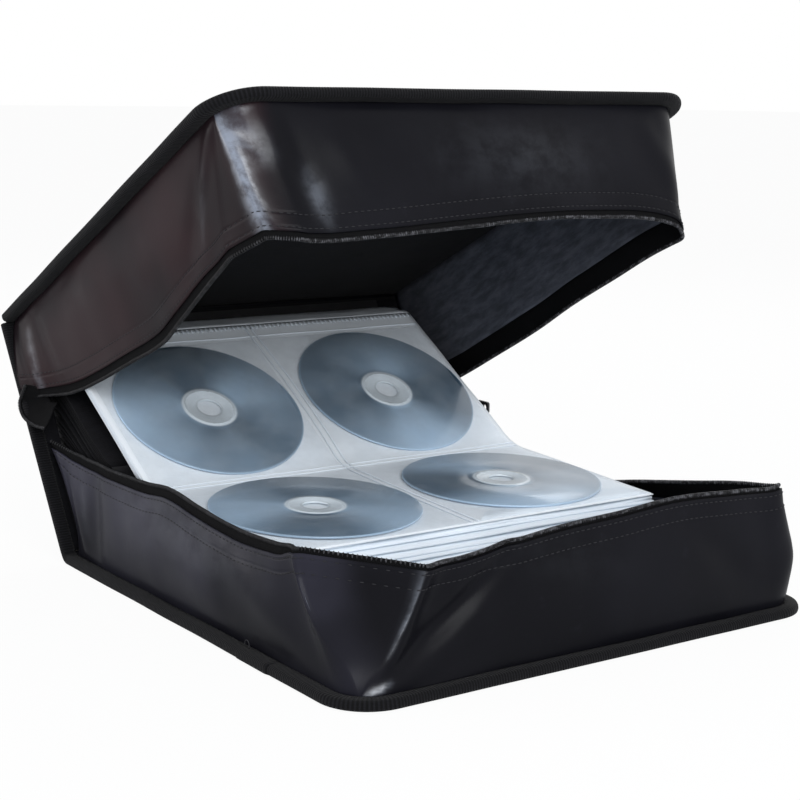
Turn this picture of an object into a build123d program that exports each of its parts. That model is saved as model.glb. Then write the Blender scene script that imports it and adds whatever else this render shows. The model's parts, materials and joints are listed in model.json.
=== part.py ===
from build123d import *
import math
import os

# Zip-up disc wallet, lying on its bottom cover with the lid half raised.
# Millimetres, +Z up. X runs along the spine, +Y points to the spine.
# The origin is the middle of the bottom cover's underside.

# Outer sizes. The case's width follows from the leaves' width.
case_depth = 323.0            # bottom and lid, from the fold to the front edge
spine_height = 164.0          # from the lower fold to the upper fold
corner_radius = 28.0          # front corners of the bottom and the lid

# Pose in which the case is modelled
spine_lean = 28.5             # degrees that the spine leans back from upright
lid_rise = 27.0               # degrees that the lid rises from level

# Make-up of the three stiff panels, from the outside in
cover_thickness = 1.2
board_thickness = 2.4
lining_thickness = 0.8
fold_gap = 6.0                # from each fold line to the edge of a board

# Ribbed tape bound round the panels' free edges
binding_width = 8.0
binding_edge = 1.5            # tape outside the board's edge
binding_top = 1.0
lap_length = 32.0
lap_thickness = 0.7
lap_from_front = 92.0         # from the front edge to the lap, on the near side

# Side walls
wall_thickness = 1.2
wall_lining_thickness = 0.8
lower_wall_height = 69.5      # top edge of the leather, from the bottom's outer face
wall_rear_gap = 0.7           # from a wall's rear end to the spine's binding
web_thickness = 0.8
web_overlap = 10.0            # how far a web is sewn along the side wall
web_low = 9.0
web_top_gap = 1.8             # from a web's upper edge to the zip tape

# Zip
tape_width = 11.5
tape_show = 3.8               # the tape that shows beside the leather
coil_width = 2.4
coil_height = 2.2
coil_round = 0.6
coil_gap = 0.75               # between the two coils at the front when the lid is shut
loop_radius = 9.0             # where the coil turns back at each end of the spine
loop_leg = 8.0
loop_gap = 0.3                # from the near web to its loop
far_loop_gap = 1.9            # from the far web to its loop, so that the slider passes between them

# Zip slider and its pull
slider_length = 13.0
slider_plate = 1.2
slider_fit = 0.35             # from the slider's plates to the coil
slider_skirt = 4.6            # how far its plates reach down from the coil's crest
slider_roof = 2.6
slider_park = 5.0             # from the coil's rear end to the slider when the zip is open
pull_length = 20.0
pull_width = 8.0
pull_thickness = 1.5
pull_neck = 7.0               # from the pin to where the pull widens
pull_hole = 4.0
pull_corner = 2.0
pin_radius = 0.8
pin_fit = 0.08
eye_wall = 0.9
eye_gap = 0.3

# Disc leaves
leaf_near_gap = 4.8           # from the leaves to the side wall's lining
leaf_far_gap = 16.8
leaf_thickness = 0.8
leaf_gap = 0.3
leaf_rear_margin = 15.7       # from the weld seam to the rear pockets
leaf_front_margin = 1.5       # from the front pockets to the leaf's front edge
crease_margin = 0.8           # from the rear pockets to the leaf's crease
rear_panel_slope = 31.2       # the half of the top leaf that slopes down to the pile
front_panel_slope = 3.0       # the half that lies on the pile
pile_rear_gap = 77.5          # from the lower fold to the rear of the pile
pile_front_gap = 11.5         # from the front wall's lining to the lowest leaf
lower_bundles = 4
upper_bundles = 3
tail_count = 9
tail_thickness = 1.4
tail_first = 15.0             # along the spine to the lowest tail
tail_last_gap = 13.0          # from the highest tail of the pile to the top leaf's tail
top_tail_drop = 15.0          # from the upper fold down the spine to the top leaf's tail
top_tail_reach = 39.6         # from the top leaf's weld seam back to the tail's seat
top_tail_rise = 1.6
top_tail_gap = 1.2            # from the weld seam to the tail, so that the leaf can turn

# Discs and their pockets
disc_diameter = 120.0
disc_hole = 15.0
disc_thickness = 1.2
disc_fit = 0.05
pocket_margin = 1.0
pocket_rim = 1.5
pocket_film = 0.3
side_weld = 6.7               # between pockets that lie side by side
row_weld = 7.7                # between the rear and the front pockets

# Leaf binding on the spine
sheet_thickness = 1.0
sheet_margin = 8.0
rivet_diameter = 6.0
rivet_height = 1.0
rivet_inset = 8.0

overcut = 1.0                 # how far a cut runs past the end of what it cuts

panel_thickness = cover_thickness + board_thickness + lining_thickness

# Insets of the side wall's layers from the panel's outer edge
wall_inset = binding_width
wall_lining_inset = wall_inset + wall_thickness
wall_inner_inset = wall_lining_inset + wall_lining_thickness
coil_inset = wall_lining_inset + wall_lining_thickness / 2 - coil_width / 2

# The leaves hold two discs side by side, and the case is as wide as the leaves need.
pocket_inside = disc_diameter + 2 * pocket_margin
pocket_outside = pocket_inside + 2 * pocket_rim
disc_pitch_x = pocket_outside + side_weld
leaf_width = 2 * disc_pitch_x
leaf_centre_x = (leaf_near_gap - leaf_far_gap) / 2
case_width = leaf_width + leaf_near_gap + leaf_far_gap + 2 * wall_inner_inset
half_width = case_width / 2
hinge_y = case_depth / 2
sin_lean = math.sin(math.radians(spine_lean))
cos_lean = math.cos(math.radians(spine_lean))
sin_rise = math.sin(math.radians(lid_rise))
cos_rise = math.cos(math.radians(lid_rise))
lid_hinge_y = hinge_y + spine_height * sin_lean
lid_hinge_z = spine_height * cos_lean

# Each panel has a plane on its outer face. Its Y runs away from the fold and its Z points inwards.
bottom_plane = Plane(origin=(0, hinge_y, 0), x_dir=(-1, 0, 0), z_dir=(0, 0, 1))
spine_plane = Plane(origin=(0, hinge_y, 0), x_dir=(1, 0, 0), z_dir=(0, -cos_lean, sin_lean))
lid_plane = Plane(origin=(0, lid_hinge_y, lid_hinge_z), x_dir=(1, 0, 0), z_dir=(0, -sin_rise, -cos_rise))

# The lid's wall is as high as brings the two coils together at the front when the lid is shut.
lower_coil_crest = lower_wall_height + tape_show + coil_height
shut_drop = (case_depth - wall_inset) * math.sin(math.radians(spine_lean - lid_rise))
upper_wall_height = spine_height - shut_drop - coil_gap - lower_coil_crest - tape_show - coil_height
upper_coil_crest = upper_wall_height + tape_show + coil_height
lower_wall_rear = panel_thickness + binding_top + wall_rear_gap
upper_wall_rear = lower_wall_rear + upper_coil_crest * math.tan(math.radians(spine_lean - lid_rise))

os.makedirs("parts", exist_ok=True)


def save(part, label):
    """Name a finished piece and write its file."""
    part.label = label
    export_step(part, f"parts/{label}.step")


def spine_point(along, inward):
    """Give (Y, Z) of a point on the spine, from the lower fold and in from the outer face."""
    return (hinge_y + along * sin_lean - inward * cos_lean, along * cos_lean + inward * sin_lean)


# Panels, bindings and side walls of the bottom and the lid

def draw_outline(sketch, inset, rear):
    """Draw a panel's outline, set in from its free edges, with round front corners."""
    length = case_depth - inset - rear
    with Locations((0, rear + length / 2)):
        Rectangle(case_width - 2 * inset, length)
    front = sketch.vertices().group_by(Axis.Y)[-1]
    fillet(front, radius=corner_radius - inset)


def panel_slab(plane, start, thickness, inset):
    """Make one layer of the bottom or the lid."""
    with BuildPart() as slab:
        with BuildSketch(plane.offset(start)) as outline:
            draw_outline(outline, inset, fold_gap)
        extrude(amount=thickness)
    return slab.part


def ring(plane, start, height, outer_inset, inner_inset, rear):
    """Make a wall of a given height that runs round the three free sides."""
    with BuildPart() as wall:
        with BuildSketch(plane.offset(start)) as outside:
            draw_outline(outside, outer_inset, rear)
        extrude(amount=height)
        with BuildSketch(plane.offset(start)) as inside:
            draw_outline(inside, inner_inset, rear - overcut)
        extrude(amount=height, mode=Mode.SUBTRACT)
    return wall.part


def binding_ring(plane):
    """Make the tape that wraps the free edges of the bottom or the lid."""
    with BuildPart() as binding:
        add(ring(plane, 0, panel_thickness + binding_top, 0, binding_width, fold_gap))
        with BuildSketch(plane.offset(cover_thickness)) as slot:
            draw_outline(slot, binding_edge, fold_gap - overcut)
        extrude(amount=board_thickness + lining_thickness, mode=Mode.SUBTRACT)
    return binding.part


def zip_coil(plane, start, rear):
    """Make the bead of coil along a tape's edge, with its crest rounded."""
    with BuildPart() as coil:
        add(ring(plane, start, coil_height, coil_inset, coil_inset + coil_width, rear))
        crest = coil.faces().sort_by(Axis(plane.origin, plane.z_dir))[-1]
        chamfer(crest.edges(), length=coil_round)
    return coil.part


def save_shell(plane, panel_name, wall_name, wall_height, wall_rear):
    """Make the panel, the side wall and the zip half of the bottom or of the lid."""
    lining_start = cover_thickness + board_thickness
    save(panel_slab(plane, 0, cover_thickness, binding_width), f"{panel_name}_cover")
    save(panel_slab(plane, cover_thickness, board_thickness, binding_edge), f"{panel_name}_board")
    save(panel_slab(plane, lining_start, lining_thickness, binding_edge), f"{panel_name}_lining")
    save(binding_ring(plane), f"{panel_name}_binding")

    tape_end = wall_height + tape_show
    tape_start = tape_end - tape_width
    leather = ring(plane, panel_thickness, wall_height - panel_thickness,
                   wall_inset, wall_lining_inset, wall_rear)
    lining = ring(plane, panel_thickness, tape_start - panel_thickness,
                  wall_lining_inset, wall_inner_inset, wall_rear)
    tape = ring(plane, tape_start, tape_width, wall_lining_inset, wall_inner_inset, wall_rear)
    save(leather, f"{wall_name}_gusset")
    save(lining, f"{wall_name}_gusset_lining")
    save(tape, f"{wall_name}_zip_tape")
    save(zip_coil(plane, tape_end, wall_rear), f"{wall_name}_zip_coil")


save_shell(bottom_plane, "bottom", "lower", lower_wall_height, lower_wall_rear)
save_shell(lid_plane, "lid", "upper", upper_wall_height, upper_wall_rear)

# The lap where the binding's two ends meet, on the near side of the bottom
with BuildPart() as binding_lap:
    with BuildSketch(Plane.XY.offset(panel_thickness + binding_top)) as lap_outline:
        with Locations((-half_width + binding_width / 2, lap_from_front - hinge_y)):
            Rectangle(binding_width, lap_length)
    extrude(amount=lap_thickness)
save(binding_lap.part, "binding_lap")


# Spine panel

def spine_slab(start, thickness, inset):
    """Make one layer of the spine."""
    with BuildPart() as slab:
        with BuildSketch(spine_plane.offset(start)) as outline:
            with Locations((0, spine_height / 2)):
                Rectangle(case_width - 2 * inset, spine_height - 2 * fold_gap)
        extrude(amount=thickness)
    return slab.part


save(spine_slab(0, cover_thickness, binding_width), "spine_cover")
save(spine_slab(cover_thickness, board_thickness, binding_edge), "spine_board")
save(spine_slab(cover_thickness + board_thickness, lining_thickness, binding_edge), "spine_lining")

with BuildPart() as spine_binding:
    add(spine_slab(0, panel_thickness + binding_top, 0))
    add(spine_slab(0, panel_thickness + binding_top, binding_width), mode=Mode.SUBTRACT)
    add(spine_slab(cover_thickness, board_thickness + lining_thickness, binding_edge),
        mode=Mode.SUBTRACT)
save(spine_binding.part, "spine_binding")


# Soft folds, each a strip of the leather bent round the fold line

def fold_strip(fold, arm_a, arm_b, normal_a, normal_b):
    """Make the strip between two panels. Arms run along the panels and normals point inwards."""
    mitre = cover_thickness / (1 + normal_a[0] * normal_b[0] + normal_a[1] * normal_b[1])
    outer_a = (fold[0] + fold_gap * arm_a[0], fold[1] + fold_gap * arm_a[1])
    outer_b = (fold[0] + fold_gap * arm_b[0], fold[1] + fold_gap * arm_b[1])
    inner_a = (outer_a[0] + cover_thickness * normal_a[0], outer_a[1] + cover_thickness * normal_a[1])
    inner_b = (outer_b[0] + cover_thickness * normal_b[0], outer_b[1] + cover_thickness * normal_b[1])
    inner_fold = (fold[0] + mitre * (normal_a[0] + normal_b[0]),
                  fold[1] + mitre * (normal_a[1] + normal_b[1]))
    with BuildPart() as strip:
        with BuildSketch(Plane.YZ):
            with BuildLine():
                Polyline(outer_a, fold, outer_b, inner_b, inner_fold, inner_a, close=True)
            make_face()
        extrude(amount=half_width, both=True)
    return strip.part


up_spine = (sin_lean, cos_lean)
into_case = (-cos_lean, sin_lean)
along_lid = (-cos_rise, sin_rise)
under_lid = (-sin_rise, -cos_rise)
save(fold_strip((hinge_y, 0), (-1, 0), up_spine, (0, 1), into_case), "spine_fold_strip")
save(fold_strip((lid_hinge_y, lid_hinge_z), (-sin_lean, -cos_lean), along_lid, into_case, under_lid),
     "lid_fold_strip")

# Webs between the side walls' rear ends and the spine
web_face = half_width - wall_inner_inset
web_high = lower_wall_height + tape_show - tape_width - web_top_gap
web_inward = panel_thickness + binding_top + leaf_gap
web_front = hinge_y - lower_wall_rear - web_overlap
for side, web_name in ((-1, "web_near"), (1, "web_far")):
    with BuildPart() as web:
        with BuildSketch(Plane.YZ.offset(side * web_face)):
            with BuildLine():
                Polyline((web_front, web_low), (web_front, web_high),
                         spine_point(web_high, web_inward), spine_point(web_low, web_inward), close=True)
            make_face()
        extrude(amount=-side * web_thickness)
    save(web.part, web_name)

# Loops where the coil turns back at the two ends of the spine
loop_middle = (lower_coil_crest + spine_height - upper_coil_crest) / 2
loop_outer = loop_radius + coil_height / 2
loop_inner = loop_radius - coil_height / 2
loop_reach = panel_thickness + loop_outer
for side, gap, loop_name in ((-1, loop_gap, "zip_loop_near"), (1, far_loop_gap, "zip_loop_far")):
    loop_x = side * (web_face - web_thickness - gap)
    loop_plane = Plane(origin=(loop_x, hinge_y, 0), x_dir=(0, sin_lean, cos_lean), z_dir=(1, 0, 0))
    with BuildPart() as loop:
        with BuildSketch(loop_plane):
            with Locations((loop_middle, loop_reach)):
                Circle(loop_outer)
                Circle(loop_inner, mode=Mode.SUBTRACT)
            with Locations((loop_middle, loop_reach + loop_outer)):
                Rectangle(2 * loop_outer, 2 * loop_outer, mode=Mode.SUBTRACT)
            with Locations((loop_middle - loop_radius, loop_reach + loop_leg / 2),
                           (loop_middle + loop_radius, loop_reach + loop_leg / 2)):
                Rectangle(coil_height, loop_leg)
        extrude(amount=-side * coil_width)
        with BuildSketch(loop_plane):
            with Locations((loop_middle, (panel_thickness + loop_reach) / 2)):
                Rectangle(2 * loop_outer + 2 * tape_show, loop_reach - panel_thickness)
            with Locations((loop_middle, loop_reach)):
                Circle(loop_radius, mode=Mode.SUBTRACT)
        extrude(amount=-side * wall_lining_thickness)
    save(loop.part, loop_name)


# Zip slider on the far side, straddling the lower coil, and its pull

slider_x = half_width - coil_inset - coil_width / 2
slider_inner = coil_width / 2 + slider_fit
slider_outer = slider_inner + slider_plate
slider_low = lower_coil_crest - slider_skirt
slider_high = lower_coil_crest + slider_fit + slider_roof
slider_middle_y = hinge_y - lower_wall_rear - slider_park - slider_length / 2
pin_x = slider_x + slider_outer + eye_gap + eye_wall + pin_fit + pin_radius
eye_radius = pin_radius + pin_fit + eye_wall
lug_height = slider_plate
eye_low = slider_low + lug_height + eye_gap
eye_high = slider_high - lug_height - eye_gap

with BuildPart() as zip_slider:
    with BuildSketch(Plane.XY.offset(slider_low)):
        with Locations((slider_x, slider_middle_y)):
            RectangleRounded(2 * slider_outer, slider_length, slider_plate)
    extrude(amount=slider_high - slider_low)
    with BuildSketch(Plane.XY.offset(slider_low)):
        with Locations((slider_x, slider_middle_y)):
            Rectangle(2 * slider_inner, slider_length + 2 * overcut)
    extrude(amount=slider_skirt + slider_fit, mode=Mode.SUBTRACT)
    for lug_start in (slider_low, slider_high - lug_height):
        with BuildSketch(Plane.XY.offset(lug_start)):
            with Locations(((slider_x + slider_inner + pin_x) / 2, slider_middle_y)):
                Rectangle(pin_x - slider_x - slider_inner, 2 * eye_radius)
            with Locations((pin_x, slider_middle_y)):
                Circle(eye_radius)
        extrude(amount=lug_height)
    with BuildSketch(Plane.XY.offset(slider_low)):
        with Locations((pin_x, slider_middle_y)):
            Circle(pin_radius)
    extrude(amount=slider_high - slider_low)
save(zip_slider.part, "zip_slider")

with BuildPart() as zip_pull:
    with BuildSketch(Plane.XY.offset(eye_low)):
        with Locations((pin_x, slider_middle_y)):
            Circle(eye_radius)
        with Locations((pin_x, slider_middle_y - pull_neck / 2)):
            Rectangle(pull_thickness, pull_neck)
    extrude(amount=eye_high - eye_low)
    with BuildSketch(Plane.YZ.offset(pin_x - pull_thickness / 2)):
        with Locations((slider_middle_y - (pull_neck + pull_length) / 2, (eye_low + eye_high) / 2)):
            RectangleRounded(pull_length - pull_neck, pull_width, pull_corner)
        with Locations((slider_middle_y - pull_length + pull_hole, (eye_low + eye_high) / 2)):
            Circle(pull_hole / 2, mode=Mode.SUBTRACT)
    extrude(amount=pull_thickness)
    with BuildSketch(Plane.XY.offset(eye_low)):
        with Locations((pin_x, slider_middle_y)):
            Circle(pin_radius + pin_fit)
    extrude(amount=eye_high - eye_low, mode=Mode.SUBTRACT)
save(zip_pull.part, "zip_pull")


# Sheet and rivets that bind the leaves to the spine

top_tail_seat = spine_height - top_tail_drop
tail_pitch = (top_tail_seat - tail_last_gap - tail_first) / (tail_count - 1)

with BuildPart() as binding_sheet:
    with BuildSketch(spine_plane.offset(panel_thickness)):
        with Locations((leaf_centre_x, spine_height / 2)):
            Rectangle(leaf_width, spine_height - 2 * sheet_margin)
    extrude(amount=sheet_thickness)
save(binding_sheet.part, "binding_sheet")

rivet_reach = leaf_width / 2 - rivet_inset
with BuildPart() as binding_rivets:
    with BuildSketch(spine_plane.offset(panel_thickness + sheet_thickness)):
        for gap in range(0, tail_count - 1, 2):
            along = tail_first + (gap + 0.5) * tail_pitch + tail_thickness / 2
            with Locations((leaf_centre_x - rivet_reach, along), (leaf_centre_x + rivet_reach, along)):
                Circle(rivet_diameter / 2)
    extrude(amount=rivet_height)
save(binding_rivets.part, "binding_rivets")


# Leaves

def leaf_solid(points):
    """Extrude a side profile, given in (Y, Z), over the leaves' width."""
    with BuildPart() as solid:
        with BuildSketch(Plane.YZ.offset(leaf_centre_x - leaf_width / 2)):
            with BuildLine():
                Polyline(*points, close=True)
            make_face()
        extrude(amount=leaf_width)
    return solid.part


sheet_face = panel_thickness + sheet_thickness + leaf_gap
top_seat = spine_point(top_tail_seat, sheet_face)
top_seat_high = spine_point(top_tail_seat + leaf_thickness, sheet_face)
leaf_rear_y = top_seat[0] - top_tail_reach
leaf_rear_z = top_seat[1] + top_tail_rise
rear_panel_length = leaf_rear_margin + pocket_outside + crease_margin
front_panel_length = row_weld - crease_margin + pocket_outside + leaf_front_margin
rear_slope = math.radians(rear_panel_slope)
front_slope = math.radians(front_panel_slope)
rear_up = (-math.sin(rear_slope), math.cos(rear_slope))
front_up = (-math.sin(front_slope), math.cos(front_slope))
crease_y = leaf_rear_y - rear_panel_length * math.cos(rear_slope)
crease_z = leaf_rear_z - rear_panel_length * math.sin(rear_slope)
leaf_front_y = crease_y - front_panel_length * math.cos(front_slope)
leaf_front_z = crease_z - front_panel_length * math.sin(front_slope)

# The pile under the top leaf is a fan of bundles. Each starts a step behind the one below it.
pile_rear_y = hinge_y - pile_rear_gap
pile_front_y = wall_inner_inset + pile_front_gap - hinge_y
pile_low = panel_thickness + leaf_gap
bundle_count = lower_bundles + upper_bundles
pile_top_front = leaf_front_z - leaf_gap
pile_top_rear = leaf_front_z - leaf_gap + (pile_rear_y - leaf_front_y) * math.tan(front_slope)


def fan_line(level):
    """Give the front and the rear point of the line on top of so many bundles."""
    share = level / bundle_count
    front = (pile_front_y + (leaf_front_y - pile_front_y) * share,
             pile_low + (pile_top_front - pile_low) * share)
    rear = (pile_rear_y, pile_low + (pile_top_rear - pile_low) * share)
    return front, rear


def height_at(line, y):
    """Give the height of a fan line at a given Y."""
    (front_y, front_z), (rear_y, rear_z) = line
    return front_z + (rear_z - front_z) * (y - front_y) / (rear_y - front_y)


def bundle(level, lift):
    """Make one bundle of leaves, raised off the one below where the pile parts."""
    low_line = fan_line(level)
    top_line = fan_line(level + 1)
    front_y = low_line[0][0]
    return leaf_solid([(front_y, low_line[0][1] + lift), (pile_rear_y, low_line[1][1] + lift),
                       top_line[1], (front_y, height_at(top_line, front_y))])


def group(parts, label):
    """Save separate solids under one name."""
    save(Compound(children=parts), label)


group([bundle(level, 0) for level in range(lower_bundles)], "lower_leaves")
upper_levels = range(lower_bundles, bundle_count)
group([bundle(level, leaf_gap if level == lower_bundles else 0) for level in upper_levels], "upper_leaves")

# Behind the pile the leaves fan out to the spine as tails
tail_start_y = pile_rear_y + leaf_gap
tail_drop = tail_thickness / cos_lean
tail_step = (pile_top_rear - pile_low - tail_drop) / tail_count


def tail(index):
    """Make the tail of one bundle, from the pile to the binding sheet."""
    start_z = pile_low + tail_step * (index + 0.5)
    along = tail_first + tail_pitch * index
    return leaf_solid([(tail_start_y, start_z), (tail_start_y, start_z + tail_thickness),
                       spine_point(along + tail_thickness, sheet_face), spine_point(along, sheet_face)])


group([tail(index) for index in range(tail_count)], "leaf_tails")

top_tail = leaf_solid([(leaf_rear_y + top_tail_gap, leaf_rear_z),
                       (leaf_rear_y + top_tail_gap, leaf_rear_z + leaf_thickness),
                       top_seat_high, top_seat])
save(top_tail, "top_leaf_tail")


# Top leaf: its core, its four film pockets and the discs in them

crease_mitre = leaf_thickness / (1 + rear_up[0] * front_up[0] + rear_up[1] * front_up[1])
crease_top = (crease_y + crease_mitre * (rear_up[0] + front_up[0]),
              crease_z + crease_mitre * (rear_up[1] + front_up[1]))
core_front_top = (leaf_front_y + leaf_thickness * front_up[0], leaf_front_z + leaf_thickness * front_up[1])
core_rear_top = (leaf_rear_y + leaf_thickness * rear_up[0], leaf_rear_z + leaf_thickness * rear_up[1])
core = leaf_solid([(leaf_front_y, leaf_front_z), (crease_y, crease_z), (leaf_rear_y, leaf_rear_z),
                   core_rear_top, crease_top, core_front_top])
save(core, "top_leaf_core")

# Planes on the leaf's upper face. Their Y runs forwards along the leaf.
rear_plane = Plane(origin=(leaf_centre_x, *core_rear_top), x_dir=(-1, 0, 0), z_dir=(0, *rear_up))
front_plane = Plane(origin=(leaf_centre_x, *crease_top), x_dir=(-1, 0, 0), z_dir=(0, *front_up))
rear_disc = leaf_rear_margin + pocket_outside / 2
front_disc = row_weld - crease_margin + pocket_outside / 2
disc_places = [(rear_plane, disc_pitch_x / 2, rear_disc), (rear_plane, -disc_pitch_x / 2, rear_disc),
               (front_plane, disc_pitch_x / 2, front_disc), (front_plane, -disc_pitch_x / 2, front_disc)]
pocket_height = disc_thickness + disc_fit + pocket_film


def pocket(plane, x, y):
    """Make one film pocket, a shallow tray turned over a disc."""
    with BuildPart() as film:
        with BuildSketch(plane):
            with Locations((x, y)):
                Rectangle(pocket_outside, pocket_outside)
        extrude(amount=pocket_height)
        with BuildSketch(plane):
            with Locations((x, y)):
                Rectangle(pocket_inside, pocket_inside)
        extrude(amount=pocket_height - pocket_film, mode=Mode.SUBTRACT)
    return film.part


group([pocket(*place) for place in disc_places], "pocket_films")

for number, (plane, x, y) in enumerate(disc_places, start=1):
    with BuildPart() as disc:
        with BuildSketch(plane):
            with Locations((x, y)):
                Circle(disc_diameter / 2)
                Circle(disc_hole / 2, mode=Mode.SUBTRACT)
        extrude(amount=disc_thickness)
    save(disc.part, f"disc_{number}")
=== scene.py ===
import json
import math

import bmesh
import bpy
import numpy as np
from bpy.props import FloatProperty, FloatVectorProperty, IntProperty, PointerProperty
from mathutils import Matrix, Vector, noise


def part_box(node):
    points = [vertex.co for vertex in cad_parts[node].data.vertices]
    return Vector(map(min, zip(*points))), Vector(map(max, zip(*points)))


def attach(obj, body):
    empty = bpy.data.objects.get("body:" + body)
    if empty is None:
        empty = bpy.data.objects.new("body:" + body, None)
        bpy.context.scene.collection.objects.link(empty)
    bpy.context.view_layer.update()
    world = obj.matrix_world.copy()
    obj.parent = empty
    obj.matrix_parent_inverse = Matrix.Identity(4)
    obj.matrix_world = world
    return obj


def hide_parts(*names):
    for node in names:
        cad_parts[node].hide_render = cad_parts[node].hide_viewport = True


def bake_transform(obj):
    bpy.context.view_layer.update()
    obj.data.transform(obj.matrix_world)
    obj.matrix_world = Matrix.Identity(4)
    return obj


bl_info = {
    "name": "Disc wallet",
    "version": (1, 0, 0),
    "blender": (4, 5, 0),
    "location": "3D View > Sidebar > Disc wallet",
    "description": "A soft zip-up wallet with bound leaves that hold discs",
    "category": "Object",
}

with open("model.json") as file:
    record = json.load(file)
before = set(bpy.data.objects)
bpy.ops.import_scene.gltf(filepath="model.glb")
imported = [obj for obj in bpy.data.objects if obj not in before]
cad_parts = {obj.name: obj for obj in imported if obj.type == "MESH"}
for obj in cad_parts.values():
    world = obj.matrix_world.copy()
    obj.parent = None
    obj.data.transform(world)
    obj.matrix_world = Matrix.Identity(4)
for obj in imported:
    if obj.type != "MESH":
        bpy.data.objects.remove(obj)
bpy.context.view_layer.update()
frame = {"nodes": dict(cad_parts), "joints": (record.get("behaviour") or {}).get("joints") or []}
MM = 0.001
joints = {joint["name"]: joint for joint in frame["joints"]}
lower_fold = Vector(joints["spine_fold"]["pos_m"])
upper_fold = Vector(joints["lid_fold"]["pos_m"])
seam = Vector(joints["leaf_turn"]["pos_m"])
spine_vector = upper_fold - lower_fold


def length(name, words, default):
    """A size that the user can change."""
    return FloatProperty(name=name, description=words, default=default, min=0.0, unit="LENGTH", precision=4)


def colour(name, words, default):
    """A colour that the user can change."""
    return FloatVectorProperty(name=name, description=words, default=default, subtype="COLOR", size=3,
                               min=0.0, max=1.0)


class WalletSizes(bpy.types.PropertyGroup):
    """Sizes of the covers, the side walls and the zip."""

    width: length("Width", "Along the spine, over the binding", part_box("bottom_binding")[1].x * 2)
    depth: length("Depth", "From the fold to the front edge", lower_fold.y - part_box("bottom_binding")[0].y)
    panel: length("Panel thickness", "Cover, board and lining together", 0.0044)
    cover: length("Cover thickness", "Leather over the boards", 0.0012)
    corner: length("Corner radius", "Front corners of the bottom and the lid", 0.028)
    binding: length("Binding width", "Ribbed tape on each face", 0.008)
    binding_top: length("Binding thickness", "Tape on the inner face", 0.001)
    rib: length("Rib pitch", "One rib of the binding tape", 0.0016)
    wall: length("Wall thickness", "Leather of the side walls", 0.0012)
    tape_show: length("Bare tape", "Zip tape between the leather and the teeth, at the sides", 0.0062)
    tape_front: length("Bare tape in front", "Zip tape between the leather and the teeth, in front", 0.0030)
    tape_back: length("Tape width inside", "Zip tape on the inner side of a wall", 0.0155)
    tooth: length("Tooth pitch", "One turn of the zip's coil", 0.00135)
    stitch: length("Stitch pitch", "One topstitch along the side walls", 0.0036)
    first_row: length("First stitch row", "From the leather's edge", 0.0022)
    second_row: length("Second stitch row", "From the leather's edge", 0.0098)


class LeafSizes(bpy.types.PropertyGroup):
    """Sizes of the leaves, their pockets and the discs."""

    width: length("Leaf width", "Along the spine",
                  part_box("top_leaf_core")[1].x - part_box("top_leaf_core")[0].x)
    fleece: length("Fleece thickness", "The top leaf without its films", 0.0006)
    loaded: length("Loaded leaf", "One leaf of the pile with its films and discs", 0.0014)
    shift: length("Leaf shift", "How far the leaves lie towards the near side", 0.0012)
    disc: length("Disc diameter", "Outer diameter", 0.120)
    hole: length("Disc hole", "Middle hole", 0.015)
    hub: length("Hub diameter", "Clear ring round the hole", 0.034)
    disc_thickness: length("Disc thickness", "One disc", 0.0012)
    disc_lift: length("Disc lift", "From the leaf's face to the disc", 0.00082)
    pocket: length("Pocket", "One pocket between its welds", 0.125)
    rear_margin: length("Rear margin", "From the leaf's seam to its pockets", 0.0157)
    row_weld: length("Row weld", "Between the rear and the front pockets", 0.0077)
    rear_panel: length("Rear half", "From the seam to the crease", 0.1415)
    front_panel: length("Front half", "From the crease to the front edge", 0.1334)
    rear_slope: FloatProperty(name="Rear slope", description="Slope of the leaf's rear half",
                              unit="ROTATION", default=math.radians(31.2))
    front_slope: FloatProperty(name="Front slope", description="Slope of the leaf's front half",
                               unit="ROTATION", default=math.radians(3.0))
    pile: IntProperty(name="Leaves in the pile", description="Leaves under the top one", default=28, min=7)
    following: IntProperty(name="Following leaves", description="Leaves that slope with the top one",
                           default=4, min=1)


class WalletColours(bpy.types.PropertyGroup):
    """Colours of the finishes."""

    leather: colour("Leather", "Coated leather cloth", (0.0036, 0.0036, 0.0052))
    # Painted highlight: the pale bluish colour that the side walls turn to where they should catch the
    # light.
    painted_highlight_tint: colour("Leather highlight", "Where the coating is stretched", (0.22, 0.25, 0.31))
    # Painted reflections: the near side walls are tinted brownish high up and lavender low down.
    warm: colour("Leather, warm", "The brownish cast of the lid's side", (0.0230, 0.0118, 0.0138))
    cool: colour("Leather, cool", "The lavender cast of the bottom's side", (0.0350, 0.0345, 0.0500))
    tape: colour("Binding", "Ribbed tape", (0.0050, 0.0050, 0.0062))
    zip_tape: colour("Zip tape", "Woven tape of the zip", (0.0040, 0.0040, 0.0045))
    teeth: colour("Teeth", "Nylon coil", (0.030, 0.030, 0.033))
    lining: colour("Lining", "Non-woven cloth inside the covers", (0.0042, 0.0042, 0.0055))
    # Painted light: the same cloth as the lining, made far lighter where the side walls' inner faces catch
    # the light.
    wall_lining: colour("Wall lining", "Non-woven cloth inside the side walls", (0.075, 0.080, 0.100))
    fleece: colour("Fleece", "White non-woven leaves", (0.84, 0.89, 0.94))
    film: colour("Film", "Clear pockets", (0.74, 0.83, 0.91))
    disc_dark: colour("Disc, dark", "Discs away from the light", (0.062, 0.110, 0.165))
    disc_light: colour("Disc, light", "Discs towards the light", (0.370, 0.510, 0.660))
    hub: colour("Hub", "Clear middle of a disc", (0.74, 0.81, 0.86))
    metal: colour("Zip metal", "Painted slider", (0.022, 0.022, 0.024))
    floor: colour("Floor", "Floor and backdrop", (0.86, 0.86, 0.86))


# Frames of the three stiff panels

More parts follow.
